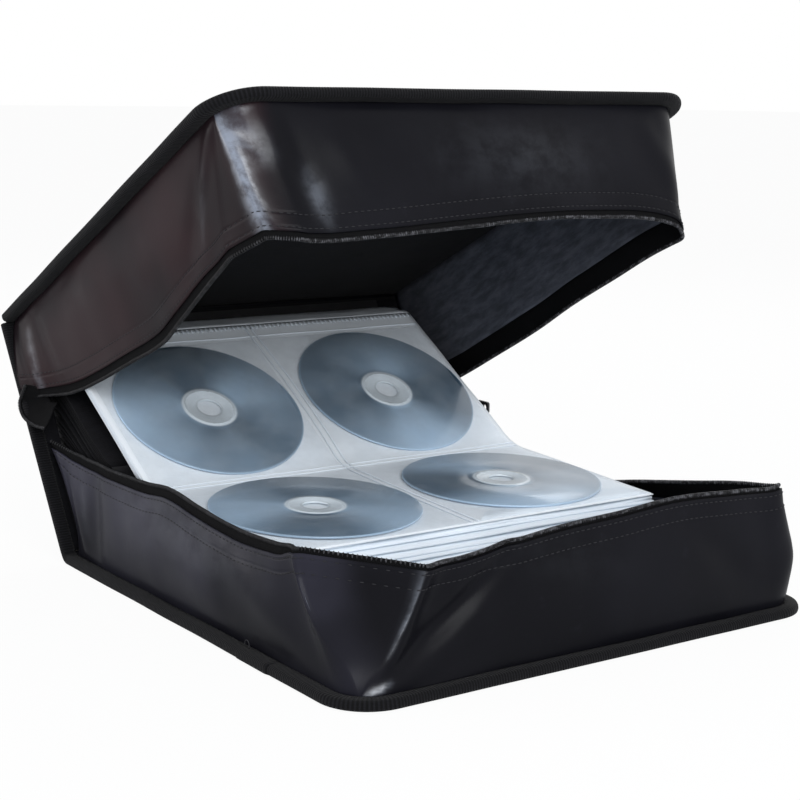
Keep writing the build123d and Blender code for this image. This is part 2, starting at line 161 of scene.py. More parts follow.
class Panel:
    """A stiff panel: x along the fold, u away from it and n into the case, in metres.

    The soft case spreads a little towards its front. near and far say by how much each side stands out,
    at the fold and at a reach of u, and the side walls lose it again towards the zip.
    """

    def __init__(self, fold, away, inward, reach=1.0, near=(0.0, 0.0), far=(0.0, 0.0)):
        self.fold = Vector((0.0, fold.y, fold.z))
        self.away = Vector(away)
        self.inward = Vector(inward)
        self.reach, self.near, self.far = reach, near, far

    def spread(self, x, u, n):
        share = min(max(u / self.reach, 0.0), 1.0)
        near = self.near[0] + (self.near[1] - self.near[0]) * share
        far = self.far[0] + (self.far[1] - self.far[0]) * share
        side = min(max(x / case_width + 0.5, 0.0), 1.0)
        return (far * side - near * (1 - side)) * min(max(1 - n / spread_height, 0.0), 1.0)

    def at(self, x, u, n):
        return Vector((x + self.spread(x, u, n), 0.0, 0.0)) + self.fold + self.away * u + self.inward * n


lean = math.atan2(spine_vector.y, spine_vector.z)
spine_height = spine_vector.length
lid_rise = math.radians(27.0)
case_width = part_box("bottom_binding")[1].x * 2
case_depth = lower_fold.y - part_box("bottom_binding")[0].y
bottom = Panel(lower_fold, (0, -1, 0), (0, 0, 1), case_depth, far=(0.0, 0.0150))
spine = Panel(lower_fold, (0, math.sin(lean), math.cos(lean)), (0, -math.cos(lean), math.sin(lean)),
              spine_height, near=(0.0, 0.0064))
lid = Panel(upper_fold, (0, -math.cos(lid_rise), math.sin(lid_rise)),
            (0, -math.sin(lid_rise), -math.cos(lid_rise)), case_depth, near=(0.0064, 0.0072),
            far=(0.0, 0.0150))
# The spine's upper end, seen from the upper fold
spine_top = Panel(upper_fold, -spine.away, spine.inward, near=(0.0064, 0.0064))

# Measures in metres
fold_gap = 0.006  # from a fold to the covers, the linings and the bindings
lining_inset = 0.003  # from a panel's free edge to its lining
lining_thickness = 0.0006
spread_height = 0.065  # where the side walls have lost their panel's spread
wall_lean = (0.150, 0.190)  # the stretch of y in which the lower wall comes to follow the spine
coil_turn = (0.00050, 0.00128, 0.00120)  # half sizes of one turn of the zip's coil: along, out and up
sheet_lift = 0.0013  # from the spine's lining to the tails' seats on the black sheet
leaf_travel = 0.040  # how far the upper leaves slide as the case shuts

# The camera that was fitted to the photo: metres, degrees and millimetres
camera_place = (-0.56717, -0.79194, 0.28650)
camera_yaw, camera_pitch, camera_roll = (math.radians(angle) for angle in (-34.956, 10.114, 0.724))
camera_lens, camera_sensor = 77.062, 36.0


def sizes():
    return bpy.context.scene.wallet_sizes


def leaf_sizes():
    return bpy.context.scene.wallet_leaves


def colours():
    return bpy.context.scene.wallet_colours


# Shader maths

class Value:
    """A socket that can be added, multiplied and compared like a number."""

    def __init__(self, paint, socket):
        self.paint = paint
        self.socket = socket

    def maths(self, operation, other, swap=False):
        pair = {0: other, 1: self} if swap else {0: self, 1: other}
        return self.paint.node("ShaderNodeMath", {"operation": operation}, pair)

    def __add__(self, other):
        return self.maths("ADD", other)

    def __sub__(self, other):
        return self.maths("SUBTRACT", other)

    def __rsub__(self, other):
        return self.maths("SUBTRACT", other, swap=True)

    def __mul__(self, other):
        return self.maths("MULTIPLY", other)

    def __truediv__(self, other):
        return self.maths("DIVIDE", other)

    def __lt__(self, other):
        return self.maths("LESS_THAN", other)

    __radd__ = __add__
    __rmul__ = __mul__

    def sine(self):
        return self.maths("SINE", 0.0)

    def size(self):
        return self.maths("ABSOLUTE", 0.0)

    def near(self, middle, width):
        """1 at the middle, falling smoothly to nothing at the width."""
        away = (self - middle).size() / width
        return self.paint.node("ShaderNodeMapRange", {"interpolation_type": "SMOOTHSTEP"},
                               {0: away, 1: 0.0, 2: 1.0, 3: 1.0, 4: 0.0})

    def ramp(self, low, high, start=0.0, end=1.0):
        return self.paint.node("ShaderNodeMapRange", {"interpolation_type": "SMOOTHSTEP"},
                               {0: self, 1: low, 2: high, 3: start, 4: end})


class Paint:
    """A material, or the world's light, while it is being mixed."""

    def __init__(self, name, store=None):
        self.material = (bpy.data.materials if store is None else store).new(name)
        self.material.use_nodes = True
        self.tree = self.material.node_tree
        self.tree.nodes.clear()

    def node(self, kind, settings=None, values=None, output=0):
        made = self.tree.nodes.new(kind)
        for key, setting in (settings or {}).items():
            setattr(made, key, setting)
        for key, value in (values or {}).items():
            socket = made.inputs[key]
            if isinstance(value, Value):
                self.tree.links.new(value.socket, socket)
            else:
                socket.default_value = value
        return Value(self, made.outputs[output]) if made.outputs else None

    def surface_map(self):
        """Distances along and across the piece's own surface, in metres."""
        place = self.node("ShaderNodeUVMap", {"uv_map": "surface"})
        return place, self.split(place)

    def split(self, vector):
        parts = self.node("ShaderNodeSeparateXYZ", None, {0: vector})
        node = parts.socket.node
        return [Value(self, node.outputs[index]) for index in range(3)]

    def place(self):
        return self.node("ShaderNodeTexCoord", None, None, "Object")

    def scaled(self, vector, scale):
        return self.node("ShaderNodeMapping", None, {0: vector, 3: scale})

    def noise(self, vector, scale, detail=3.0, roughness=0.5, distortion=0.0):
        return self.node("ShaderNodeTexNoise", None,
                         {"Vector": vector, "Scale": scale, "Detail": detail, "Roughness": roughness,
                          "Distortion": distortion})

    def cells(self, vector, scale):
        return self.node("ShaderNodeTexVoronoi", {"feature": "F1"},
                         {"Vector": vector, "Scale": scale}, "Distance")

    def blend(self, factor, first, second):
        """Mix two colours. The colour sockets of a Mix node are its inputs 6 and 7 and its output 2."""
        return self.node("ShaderNodeMix", {"data_type": "RGBA"}, {0: factor, 6: first, 7: second}, 2)

    def bump(self, height, strength, distance):
        return self.node("ShaderNodeBump", None,
                         {"Height": height, "Strength": strength, "Distance": distance})

    def finish(self, **sockets):
        """Send the values to a principled shader and out. Underscores in names stand for spaces."""
        values = {key.replace("_", " "): value for key, value in sockets.items()}
        shader = self.node("ShaderNodeBsdfPrincipled", None, values)
        self.node("ShaderNodeOutputMaterial", None, {"Surface": shader})
        return self.material


def rgba(tint, share=1.0):
    return (tint[0] * share, tint[1] * share, tint[2] * share, 1.0)


def once(function):
    """Make a material only the first time that it is asked for."""
    kept = {}

    def get(*choice):
        if choice not in kept:
            kept[choice] = function(*choice)
        return kept[choice]

    return get


@once
def leather(seams=False):
    """Coated leather cloth: fine pebbled grain, soft creases and a satin coat, with painted highlights and
    painted reflections in its colour.
    """
    paint = Paint("leather_walls" if seams else "leather_covers")
    tint = colours()
    where, (_, across, _) = paint.surface_map()
    fine = paint.cells(where, 1150.0)
    pits = paint.noise(where, 620.0, 2.0)
    wrinkles = paint.noise(paint.scaled(where, (30.0, 14.0, 1.0)), 1.0, 5.0, 0.55, 0.6)
    soft = paint.noise(paint.place(), 9.0, 3.0)
    wear_and_highlight_noise = paint.noise(where, 70.0, 5.0, 0.65)
    height = fine * 0.10 + pits * 0.12 + wrinkles * 0.5
    if seams:
        dip = across.near(sizes().first_row, 0.0016) + across.near(sizes().second_row, 0.0016)
        height = height - dip * 0.9
    # Painted reflection: on the near side the colour turns lavender low down and brownish high up, patchily,
    # as reflections of the room on the satin coat would.
    side, _, high = paint.split(paint.place())
    cast = (0.0 - side).ramp(0.122, 0.143) * soft.ramp(0.34, 0.58, 0.30, 1.0)
    # Painted highlight: each wall point's painted highlight value, broken up by a noise, sets where the
    # colour lightens and a coat is added.
    painted_highlight_mask = paint.node("ShaderNodeAttribute", {"attribute_name": "painted_highlight_mask"}, None, "Fac")
    painted_highlight_patches = painted_highlight_mask * wear_and_highlight_noise.ramp(0.30, 0.62, 0.45, 1.15)
    shade = paint.blend(soft.ramp(0.35, 0.75), rgba(tint.leather), rgba(tint.leather, 1.7))
    painted_reflection_tone = paint.blend(high.ramp(0.012, 0.050, 0.30, 1.0), shade, rgba(tint.cool))
    painted_reflection_tone = paint.blend(high.ramp(0.080, 0.100), painted_reflection_tone, rgba(tint.warm))
    shade = paint.blend(cast, shade, painted_reflection_tone)
    # Lighter patches at random: wear.
    shade = paint.blend(wear_and_highlight_noise.ramp(0.60, 0.80, 0.0, 0.30), shade, rgba(tint.leather, 4.5))
    # Painted highlight: the colour turns a pale bluish grey where the walls should catch the light.
    shade = paint.blend(painted_highlight_patches.ramp(0.0, 1.2), shade, rgba(tint.painted_highlight_tint))
    rough = soft.ramp(0.3, 0.7, 0.30, 0.40) + (wear_and_highlight_noise - 0.5) * 0.14
    return paint.finish(Base_Color=shade, Roughness=rough, Specular_IOR_Level=0.075,
                        Coat_Weight=painted_highlight_patches.ramp(0.0, 0.6), Coat_Roughness=0.22,
                        Normal=paint.bump(height, 0.30, 0.0005))


@once
def ribbed_tape():
    """Grosgrain: ribs across the tape with fine threads between them and a little lint."""
    paint = Paint("ribbed_tape")
    tint = colours()
    where, (along, across, _) = paint.surface_map()
    rib = (along * (2 * math.pi / sizes().rib)).sine()
    thread = (across * (2 * math.pi / 0.00062)).sine()
    lint = paint.noise(where, 900.0, 4.0, 0.7)
    dust = paint.noise(paint.place(), 30.0, 4.0, 0.6)
    # Painted shade: the colour is lighter on each rib's crest and darker between the ribs.
    shade = paint.blend(rib.ramp(-0.6, 1.0, 0.0, 0.75), rgba(tint.tape, 0.45), rgba(tint.tape, 1.9))
    shade = paint.blend(lint.ramp(0.62, 0.80, 0.0, 0.5), shade, rgba(tint.tape, 4.5))
    shade = paint.blend(dust.ramp(0.55, 0.8, 0.0, 0.25), shade, rgba(tint.tape, 3.0))
    return paint.finish(Base_Color=shade, Roughness=0.82 - lint * 0.12, Specular_IOR_Level=0.10,
                        Sheen_Weight=0.04, Sheen_Roughness=0.4,
                        Normal=paint.bump(rib * 0.5 + thread * 0.25 + lint * 0.3, 0.7, 0.0004))


@once
def woven_tape():
    """Flat zip tape with a fine twill."""
    paint = Paint("woven_tape")
    tint = colours()
    where, (along, across, _) = paint.surface_map()
    twill = ((along + across) * (2 * math.pi / 0.0009)).sine()
    cord = ((along - across * 0.4) * (2 * math.pi / 0.0006)).sine()
    lint = paint.noise(where, 700.0, 4.0, 0.7)
    shade = paint.blend(lint.ramp(0.5, 0.8, 0.0, 0.6), rgba(tint.zip_tape), rgba(tint.zip_tape, 2.2))
    return paint.finish(Base_Color=shade, Roughness=0.86 - lint * 0.1, Specular_IOR_Level=0.07,
                        Normal=paint.bump(twill * 0.4 + cord * 0.25 + lint * 0.3, 0.6, 0.0003))


@once
def lining_cloth(wall=False):
    """Non-woven lining: pressed fibres, streaks and a faint nap."""
    paint = Paint("wall_lining_painted_light" if wall else "lining_cloth")
    # Painted light: the side walls' lining gets a much lighter colour than the same cloth in the covers, for
    # the walls' lit inner faces.
    base = colours().wall_lining if wall else colours().lining
    where, _ = paint.surface_map()
    fibres = paint.noise(paint.scaled(where, (260.0, 900.0, 1.0)), 1.0, 5.0, 0.7, 1.5)
    cross = paint.noise(paint.scaled(where, (1000.0, 300.0, 1.0)), 1.0, 4.0, 0.7, 1.0)
    streaks = paint.noise(paint.scaled(where, (60.0, 200.0, 1.0)), 1.0, 4.0, 0.6)
    shade = paint.blend(streaks.ramp(0.3, 0.75, 0.0, 1.0), rgba(base, 0.7), rgba(base, 1.4))
    shade = paint.blend(fibres.ramp(0.55, 0.8, 0.0, 0.5), shade, rgba(base, 2.2))
    return paint.finish(Base_Color=shade, Roughness=0.9 - fibres * 0.1, Specular_IOR_Level=0.10,
                        Sheen_Weight=0.03, Sheen_Roughness=0.5,
                        Normal=paint.bump(fibres + cross * 0.8, 0.6, 0.0005))


@once
def teeth_nylon():
    """Nylon coil with bright specks, which fade on the near side as painted shade."""
    paint = Paint("teeth_nylon")
    tint = colours()
    place = paint.place()
    rub = paint.noise(place, 420.0, 3.0, 0.6)
    # Painted shade: between x = -0.126 and -0.143 towards the near side the bright specks fade, so the near
    # side's coil stays dark.
    front = paint.split(place)[0].ramp(-0.143, -0.126)
    bright = rub.ramp(0.42, 0.66) * (front * 0.85 + 0.15)
    shade = paint.blend(bright, rgba(tint.teeth, 0.35), rgba(tint.teeth, 3.6))
    return paint.finish(Base_Color=shade, Roughness=0.34 + rub * 0.2, Specular_IOR_Level=0.18,
                        Normal=paint.bump(rub, 0.3, 0.0002))


@once
def thread():
    """Twisted sewing thread."""
    paint = Paint("thread")
    tint = colours()
    twist = paint.noise(paint.place(), 1500.0, 2.0)
    return paint.finish(Base_Color=paint.blend(twist, rgba(tint.tape, 0.8), rgba(tint.tape, 4.0)),
                        Roughness=0.6 + twist * 0.2, Specular_IOR_Level=0.3,
                        Normal=paint.bump(twist, 0.5, 0.0003))


@once
def fleece(edge=False):
    """White non-woven fleece: pressed fibres under a faint blue cast. Its shaded copy, for the pile, the
    following leaves and the welds, is mixed towards blue-grey as painted shade.
    """
    paint = Paint("fleece_painted_shade" if edge else "fleece")
    tint = colours()
    where, _ = paint.surface_map()
    fibres = paint.noise(paint.scaled(where, (500.0, 1300.0, 1.0)), 1.0, 5.0, 0.75, 1.2)
    dots = paint.cells(where, 700.0)
    haze = paint.noise(paint.place(), 12.0, 3.0, 0.6)
    shade = paint.blend(haze.ramp(0.3, 0.7, 0.0, 1.0), rgba(tint.fleece), rgba(tint.fleece, 0.90))
    shade = paint.blend(fibres.ramp(0.5, 0.85, 0.0, 0.35), shade, rgba(tint.fleece, 0.78))
    # Painted shade: the leaves under the lid get a darker, bluer copy of the fleece.
    if edge:
        shade = paint.blend(0.22, shade, (0.55, 0.66, 0.78, 1.0))
    return paint.finish(Base_Color=shade, Roughness=0.78 - fibres * 0.15, Specular_IOR_Level=0.25,
                        Normal=paint.bump(fibres * 0.7 + dots * 0.3, 0.35, 0.0003))


@once
def pocket_film():
    """Soft clear film, milky at its welds, with long ripples in its gloss."""
    paint = Paint("pocket_film")
    tint = colours()
    where, _ = paint.surface_map()
    waves = paint.noise(paint.scaled(where, (5.0, 9.0, 1.0)), 1.0, 3.0, 0.5, 1.0)
    haze = paint.noise(where, 6.0, 5.0, 0.6)
    milky = haze.ramp(0.3, 0.8, 0.08, 0.22)
    return paint.finish(Base_Color=rgba(tint.film), Roughness=0.16 + haze * 0.14, Alpha=milky,
                        Specular_IOR_Level=0.55, Normal=paint.bump(waves + haze * 0.3, 0.3, 0.0015))


@once
def disc_face():
    """Silvery disc: soft bright sectors painted in as reflections, fine rings and a clear hub."""
    paint = Paint("disc_face")
    tint = colours()
    where, (across, along, _) = paint.surface_map()
    reach = paint.node("ShaderNodeVectorMath", {"operation": "LENGTH"}, {0: where}, "Value")
    turn = paint.node("ShaderNodeMath", {"operation": "ARCTAN2"}, {0: along, 1: across})
    # Painted reflection: the colour lightens and darkens in sectors round the middle, as reflections on a
    # disc's face would.
    wide = (turn * 2.0 + 0.6).sine()
    narrow = (turn * 3.0 + 2.1).sine()
    faint = (turn * 7.0 + 0.4).sine()
    rings = (reach * (2 * math.pi / 0.0011)).sine()
    cloud = paint.noise(where, 26.0, 3.0, 0.5)
    light = (wide * 0.40 + narrow * 0.22 + faint * 0.06 + 0.45 + (cloud - 0.5) * 0.35).ramp(0.0, 1.0)
    shade = paint.blend(light, rgba(tint.disc_dark), rgba(tint.disc_light))
    hub = reach < leaf_sizes().hub / 2
    lip = reach.near(leaf_sizes().hub / 2, 0.0014)
    stack = reach.near(0.0152, 0.0009)
    clear = reach.near(0.0082, 0.0010)
    shade = paint.blend(hub, shade, rgba(tint.hub))
    shade = paint.blend(lip * 0.55, shade, rgba(tint.hub, 1.15))
    shade = paint.blend(stack * 0.45, shade, rgba(tint.hub, 1.15))
    shade = paint.blend(clear * 0.35, shade, rgba(tint.hub, 0.55))
    edge = reach.near(leaf_sizes().disc / 2, 0.0016)
    shade = paint.blend(edge * 0.5, shade, rgba(tint.disc_light, 1.3))
    height = rings * 0.02 + stack * 0.9 + lip * 0.5 + cloud * 0.02
    return paint.finish(Base_Color=shade, Roughness=0.30 + hub * 0.12 + cloud * 0.08,
                        Metallic=0.12 - hub * 0.12, Specular_IOR_Level=0.5, Coat_Weight=0.4,
                        Coat_Roughness=0.12, Normal=paint.bump(height, 0.25, 0.0004))


@once
def painted_metal():
    """Black painted zinc, rubbed bare in patches."""
    paint = Paint("painted_metal")
    tint = colours()
    rub = paint.noise(paint.place(), 260.0, 5.0, 0.7)
    bare = rub.ramp(0.62, 0.74)
    return paint.finish(Base_Color=paint.blend(bare, rgba(tint.metal), (0.28, 0.28, 0.29, 1.0)),
                        Roughness=0.34 + rub * 0.2, Metallic=bare * 0.9,
                        Normal=paint.bump(rub, 0.2, 0.0002))


@once
def bright_metal():
    """Plated rivet with fine scratches."""
    paint = Paint("bright_metal")
    scratch = paint.noise(paint.scaled(paint.place(), (900.0, 90.0, 900.0)), 1.0, 4.0, 0.6)
    return paint.finish(Base_Color=paint.blend(scratch, (0.30, 0.30, 0.31, 1.0), (0.52, 0.52, 0.53, 1.0)),
                        Roughness=0.24 + scratch * 0.2, Metallic=1.0,
                        Normal=paint.bump(scratch, 0.2, 0.0002))


@once
def grey_board():
    """Bookbinder's board, pressed from grey pulp."""
    paint = Paint("grey_board")
    pulp = paint.noise(paint.place(), 300.0, 6.0, 0.7)
    fleck = paint.cells(paint.place(), 420.0)
    return paint.finish(Base_Color=paint.blend(pulp, (0.20, 0.17, 0.14, 1.0), (0.42, 0.37, 0.31, 1.0)),
                        Roughness=0.9 - fleck * 0.1, Normal=paint.bump(pulp + fleck * 0.4, 0.5, 0.0004))


@once
def black_sheet():
    """Embossed black plastic sheet that binds the leaves."""
    paint = Paint("black_sheet")
    emboss = paint.cells(paint.place(), 700.0)
    scuff = paint.noise(paint.place(), 60.0, 5.0, 0.6)
    return paint.finish(Base_Color=paint.blend(scuff.ramp(0.5, 0.8), (0.010, 0.010, 0.011, 1.0),
                                               (0.035, 0.035, 0.037, 1.0)),
                        Roughness=0.42 + scuff * 0.2, Normal=paint.bump(emboss, 0.4, 0.0003))


# Shapes

def drape(across, along, place, wide, tall):
    """A grid whose points go where place(a, b) says, mapped in metres, wide by tall."""
    mesh = bmesh.new()
    mapped = mesh.loops.layers.uv.new("surface")
    bmesh.ops.create_grid(mesh, x_segments=across, y_segments=along, size=0.5)
    for face in mesh.faces:
        for corner in face.loops:
            a, b = corner.vert.co.x + 0.5, corner.vert.co.y + 0.5
            corner[mapped].uv = (a * wide, b * tall)
    for vert in mesh.verts:
        vert.co = place(vert.co.x + 0.5, vert.co.y + 0.5)
    return mesh


def face_away(mesh, point):
    """Turn the faces of an open sheet away from a point."""
    mesh.normal_update()
    score = sum(face.normal.dot(face.calc_center_median() - point) * face.calc_area() for face in mesh.faces)
    if score < 0:
        bmesh.ops.reverse_faces(mesh, faces=mesh.faces)


def make_piece(name, mesh, material, stands_for=(), body=None, bend=None, thickness=None, smooth=True):
    """Turn a finished bmesh into a named piece that rides on its body, or, given a bend, is baked in place;
    the bend's bodies are not used.
    """
    mesh.normal_update()
    data = bpy.data.meshes.new(name)
    mesh.to_mesh(data)
    mesh.free()
    piece = bpy.data.objects.new(name, data)
    bpy.context.scene.collection.objects.link(piece)
    data.materials.append(material)
    if smooth:
        data.polygons.foreach_set("use_smooth", [True] * len(data.polygons))
    if thickness:
        shell = piece.modifiers.new("thickness", "SOLIDIFY")
        shell.thickness = thickness
        shell.offset = -1.0
    if stands_for:
        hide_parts(*stands_for)
    if bend:
        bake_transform(piece)
    else:
        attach(piece, body)
    return piece


def ease(value):
    value = min(1.0, max(0.0, value))
    return value * value * (3 - 2 * value)


def ripple(x, y, z, scale, seed=0.0):
    """Smooth unevenness between about -1 and 1."""
    return noise.noise(Vector((x / scale + seed, y / scale - seed, z / scale + 3.1 * seed))) * 1.6


def outline(s, inset):
    """Point (x, u) and outward direction on a panel's edge, s along it from the fold on the near side."""
    size = sizes()
    half, radius = size.width / 2, size.corner
    straight = size.depth - radius
    arc = (radius - size.binding) * math.pi / 2
    front = size.width - 2 * radius
    if s <= straight:
        return (-(half - inset), s), (-1.0, 0.0)
    s -= straight
    if s <= arc:
        turn = s / arc * math.pi / 2
        away = (-math.cos(turn), math.sin(turn))
        return (radius - half + (radius - inset) * away[0], straight + (radius - inset) * away[1]), away
    s -= arc
    if s <= front:
        return (radius - half + s, size.depth - inset), (0.0, 1.0)
    s -= front
    if s <= arc:
        turn = s / arc * math.pi / 2
        away = (math.sin(turn), math.cos(turn))
        return (half - radius + (radius - inset) * away[0], straight + (radius - inset) * away[1]), away
    return (half - inset, straight - (s - arc)), (1.0, 0.0)


def outline_length():
    size = sizes()
    straight = 2 * (size.depth - size.corner)
    return straight + (size.corner - size.binding) * math.pi + size.width - 2 * size.corner


class Guide:
    """A curve that a side wall follows, from the panel's edge up to the zip's crest."""

    def __init__(self, s, x, u, n, bulge=0.0, sharp=False, low=None, high=None):
        self.s = s * MM
        self.top = np.array((x, u, n)) * MM
        self.bulge = bulge * MM
        self.sharp = sharp
        self.low = None if low is None else np.array(low) * MM
        self.high = None if high is None else np.array(high) * MM

    def points(self, shares, base_n):
        (x, u), away = outline(self.s, sizes().binding)
        base = np.array((x, u, base_n))
        push = np.array((away[0], away[1], 0.0)) * self.bulge * 4 / 3
        low = base + (self.top - base) / 3 + push if self.low is None else self.low
        high = base + (self.top - base) * 2 / 3 + push if self.high is None else self.high
        v = shares[:, None]
        return ((1 - v) ** 3 * base + 3 * (1 - v) ** 2 * v * low + 3 * (1 - v) * v ** 2 * high
                + v ** 3 * self.top)


class SoftWall:
    """A side wall lofted through its guides, then creased and rippled."""

    rows = 37
    step = 0.0025

    def __init__(self, panel, guides, folds, painted_highlights, bare, seed):
        self.panel = panel
        self.bare = bare
        shares = np.linspace(0.0, 1.0, self.rows)
        base_n = sizes().panel
        curves = [guide.points(shares, base_n) for guide in guides]
        offsets = []
        for guide, curve in zip(guides, curves):
            (x, u), _ = outline(guide.s, sizes().binding)
            offsets.append(curve - np.array((x, u, 0.0)))
        reach = [0.0]
        for first, second in zip(curves, curves[1:]):
            gap = float(np.linalg.norm(second - first, axis=1).mean())
            reach.append(reach[-1] + max(gap, 0.001))
        self.length = reach[-1]
        self.marks = [(guide.s, place) for guide, place in zip(guides, reach)]
        count = int(self.length / self.step) + 1
        places = np.linspace(0.0, self.length, count)
        grid = np.zeros((count, self.rows, 3))
        for index, place in enumerate(places):
            k = min(max(int(np.searchsorted(reach, place, side="right")) - 1, 0), len(guides) - 2)
            gap = reach[k + 1] - reach[k]
            t = (place - reach[k]) / gap
            first, last = offsets[k], offsets[k + 1]
            straight = (last - first) / gap
            before, after = straight, straight
            if k > 0 and not guides[k].sharp:
                before = (last - offsets[k - 1]) / (reach[k + 1] - reach[k - 1])
            if k + 2 < len(guides) and not guides[k + 1].sharp:
                after = (offsets[k + 2] - first) / (reach[k + 2] - reach[k])
            bent = ((2 * t ** 3 - 3 * t ** 2 + 1) * first + (t ** 3 - 2 * t ** 2 + t) * gap * before
                    + (3 * t ** 2 - 2 * t ** 3) * last + (t ** 3 - t ** 2) * gap * after)
            s = guides[k].s + (guides[k + 1].s - guides[k].s) * t
            (x, u), _ = outline(s, sizes().binding)
            grid[index] = bent + np.array((x, u, 0.0))
        self.places, self.grid = places, grid
        self.measure()
        self.crease(folds, seed)
        self.even_rows()
        self.measure()
        # Painted highlights: how far each grid point's colour is lightened.
        self.painted_highlight = self.marked(painted_highlights)

    def even_rows(self):
        """Space each column's rows evenly, so that a height on the wall is a distance."""
        shares = np.linspace(0.0, 1.0, self.rows)
        for column in self.grid:
            walked = np.concatenate(([0.0], np.cumsum(np.linalg.norm(np.diff(column, axis=0), axis=1))))
            for axis in range(3):
                column[:, axis] = np.interp(shares * walked[-1], walked, column[:, axis].copy())

    def marked(self, lines):
        """Add soft lines (s0, v0, s1, v1, width, strength) up over the wall, as distances from each."""
        shares = np.linspace(0.0, 1.0, self.rows)
        across = self.places[:, None] + 0 * shares[None, :]
        above = shares[None, :] * self.height[:, None]
        total = np.zeros(across.shape)
        for s0, v0, s1, v1, width, strength in lines:
            start = np.array((self.place_of(s0 * MM), v0 * 0.075))
            end = np.array((self.place_of(s1 * MM), v1 * 0.075))
            run = end - start
            t = ((across - start[0]) * run[0] + (above - start[1]) * run[1]) / max(float(run @ run), 1e-9)
            t = np.clip(t, 0.0, 1.0)
            gap = np.hypot(across - start[0] - t * run[0], above - start[1] - t * run[1])
            total += strength * np.exp(-(gap / (width * MM)) ** 2) * (0.55 + 0.45 * np.sin(t * math.pi))
        return total

    def measure(self):
        """Work out each column's height and the outward normals."""
        along = np.gradient(self.grid, axis=0)
        up = np.gradient(self.grid, axis=1)
        normal = np.cross(up, along)
        normal /= np.maximum(np.linalg.norm(normal, axis=2, keepdims=True), 1e-12)
        middle = np.array((0.0, sizes().depth / 2, 0.0))
        if float((normal * (self.grid - middle)).sum()) < 0:
            normal = -normal
        self.normal = normal
        self.height = np.linalg.norm(np.diff(self.grid, axis=1), axis=2).sum(axis=1)

    def place_of(self, s):
        """Where along the wall the outline's point s lies."""
        for (s0, p0), (s1, p1) in zip(self.marks, self.marks[1:]):
            if s0 <= s <= s1 and s1 > s0:
                return p0 + (p1 - p0) * (s - s0) / (s1 - s0)
        return self.marks[-1][1]

    def crease(self, folds, seed):
        count = len(self.places)
        push = self.marked(folds) * MM
        shares = np.linspace(0.0, 1.0, self.rows)
        for index in range(count):
            for row in range(self.rows):
                x, u, n = self.grid[index, row]
                push[index, row] += 0.0011 * ripple(x, u, n, 0.060, seed)
                push[index, row] += 0.00022 * ripple(x, u, n * 0.6, 0.022, seed + 5.0)
        keep = np.clip(shares / 0.10, 0.0, 1.0) * np.clip((1.0 - shares) / 0.05 + 0.35, 0.0, 1.0)
        self.grid = self.grid + self.normal * (push * keep[None, :])[:, :, None]

    def weights(self, place, up):
        """The four grid points round a place on the wall, with their shares."""
        column = min(max(place / self.length, 0.0), 1.0) * (len(self.places) - 1)
        c0 = min(int(column), len(self.places) - 2)
        fc = column - c0
        height = self.height[c0] * (1 - fc) + self.height[c0 + 1] * fc
        row = min(max(up / height, 0.0), 1.0) * (self.rows - 1)
        r0 = min(int(row), self.rows - 2)
        fr = row - r0
        return ((c0, r0, (1 - fc) * (1 - fr)), (c0 + 1, r0, fc * (1 - fr)), (c0, r0 + 1, (1 - fc) * fr),
                (c0 + 1, r0 + 1, fc * fr))

    def at(self, place, up, inset):
        """Point at a distance along the wall, up from the panel, set in from the outer face."""
        weights = self.weights(place, up)
        point = sum(self.grid[c, r] * w for c, r, w in weights)
        normal = sum(self.normal[c, r] * w for c, r, w in weights)
        point = point - normal * inset
        return self.panel.at(*point), normal

    # The painted highlight value at a place on the wall.
    def painted_highlight_at(self, place, up):
        return float(sum(self.painted_highlight[c, r] * w for c, r, w in self.weights(place, up)))

    def show(self, place):
        """Width of the bare tape between the leather and the teeth."""
        side, front = self.bare
        s = float(np.interp(place, [p for _, p in self.marks], [s for s, _ in self.marks]))
        return side + (front - side) * ease((s - 0.24) / 0.08)

    def crest(self, place):
        column = min(max(place / self.length, 0.0), 1.0) * (len(self.places) - 1)
        c0 = min(int(column), len(self.places) - 2)
        return float(self.height[c0] * (1 - (column - c0)) + self.height[c0 + 1] * (column - c0))

    def world(self, vector):
        return (Vector((vector[0], 0.0, 0.0)) + self.panel.away * vector[1] + self.panel.inward * vector[2])


walls = {}


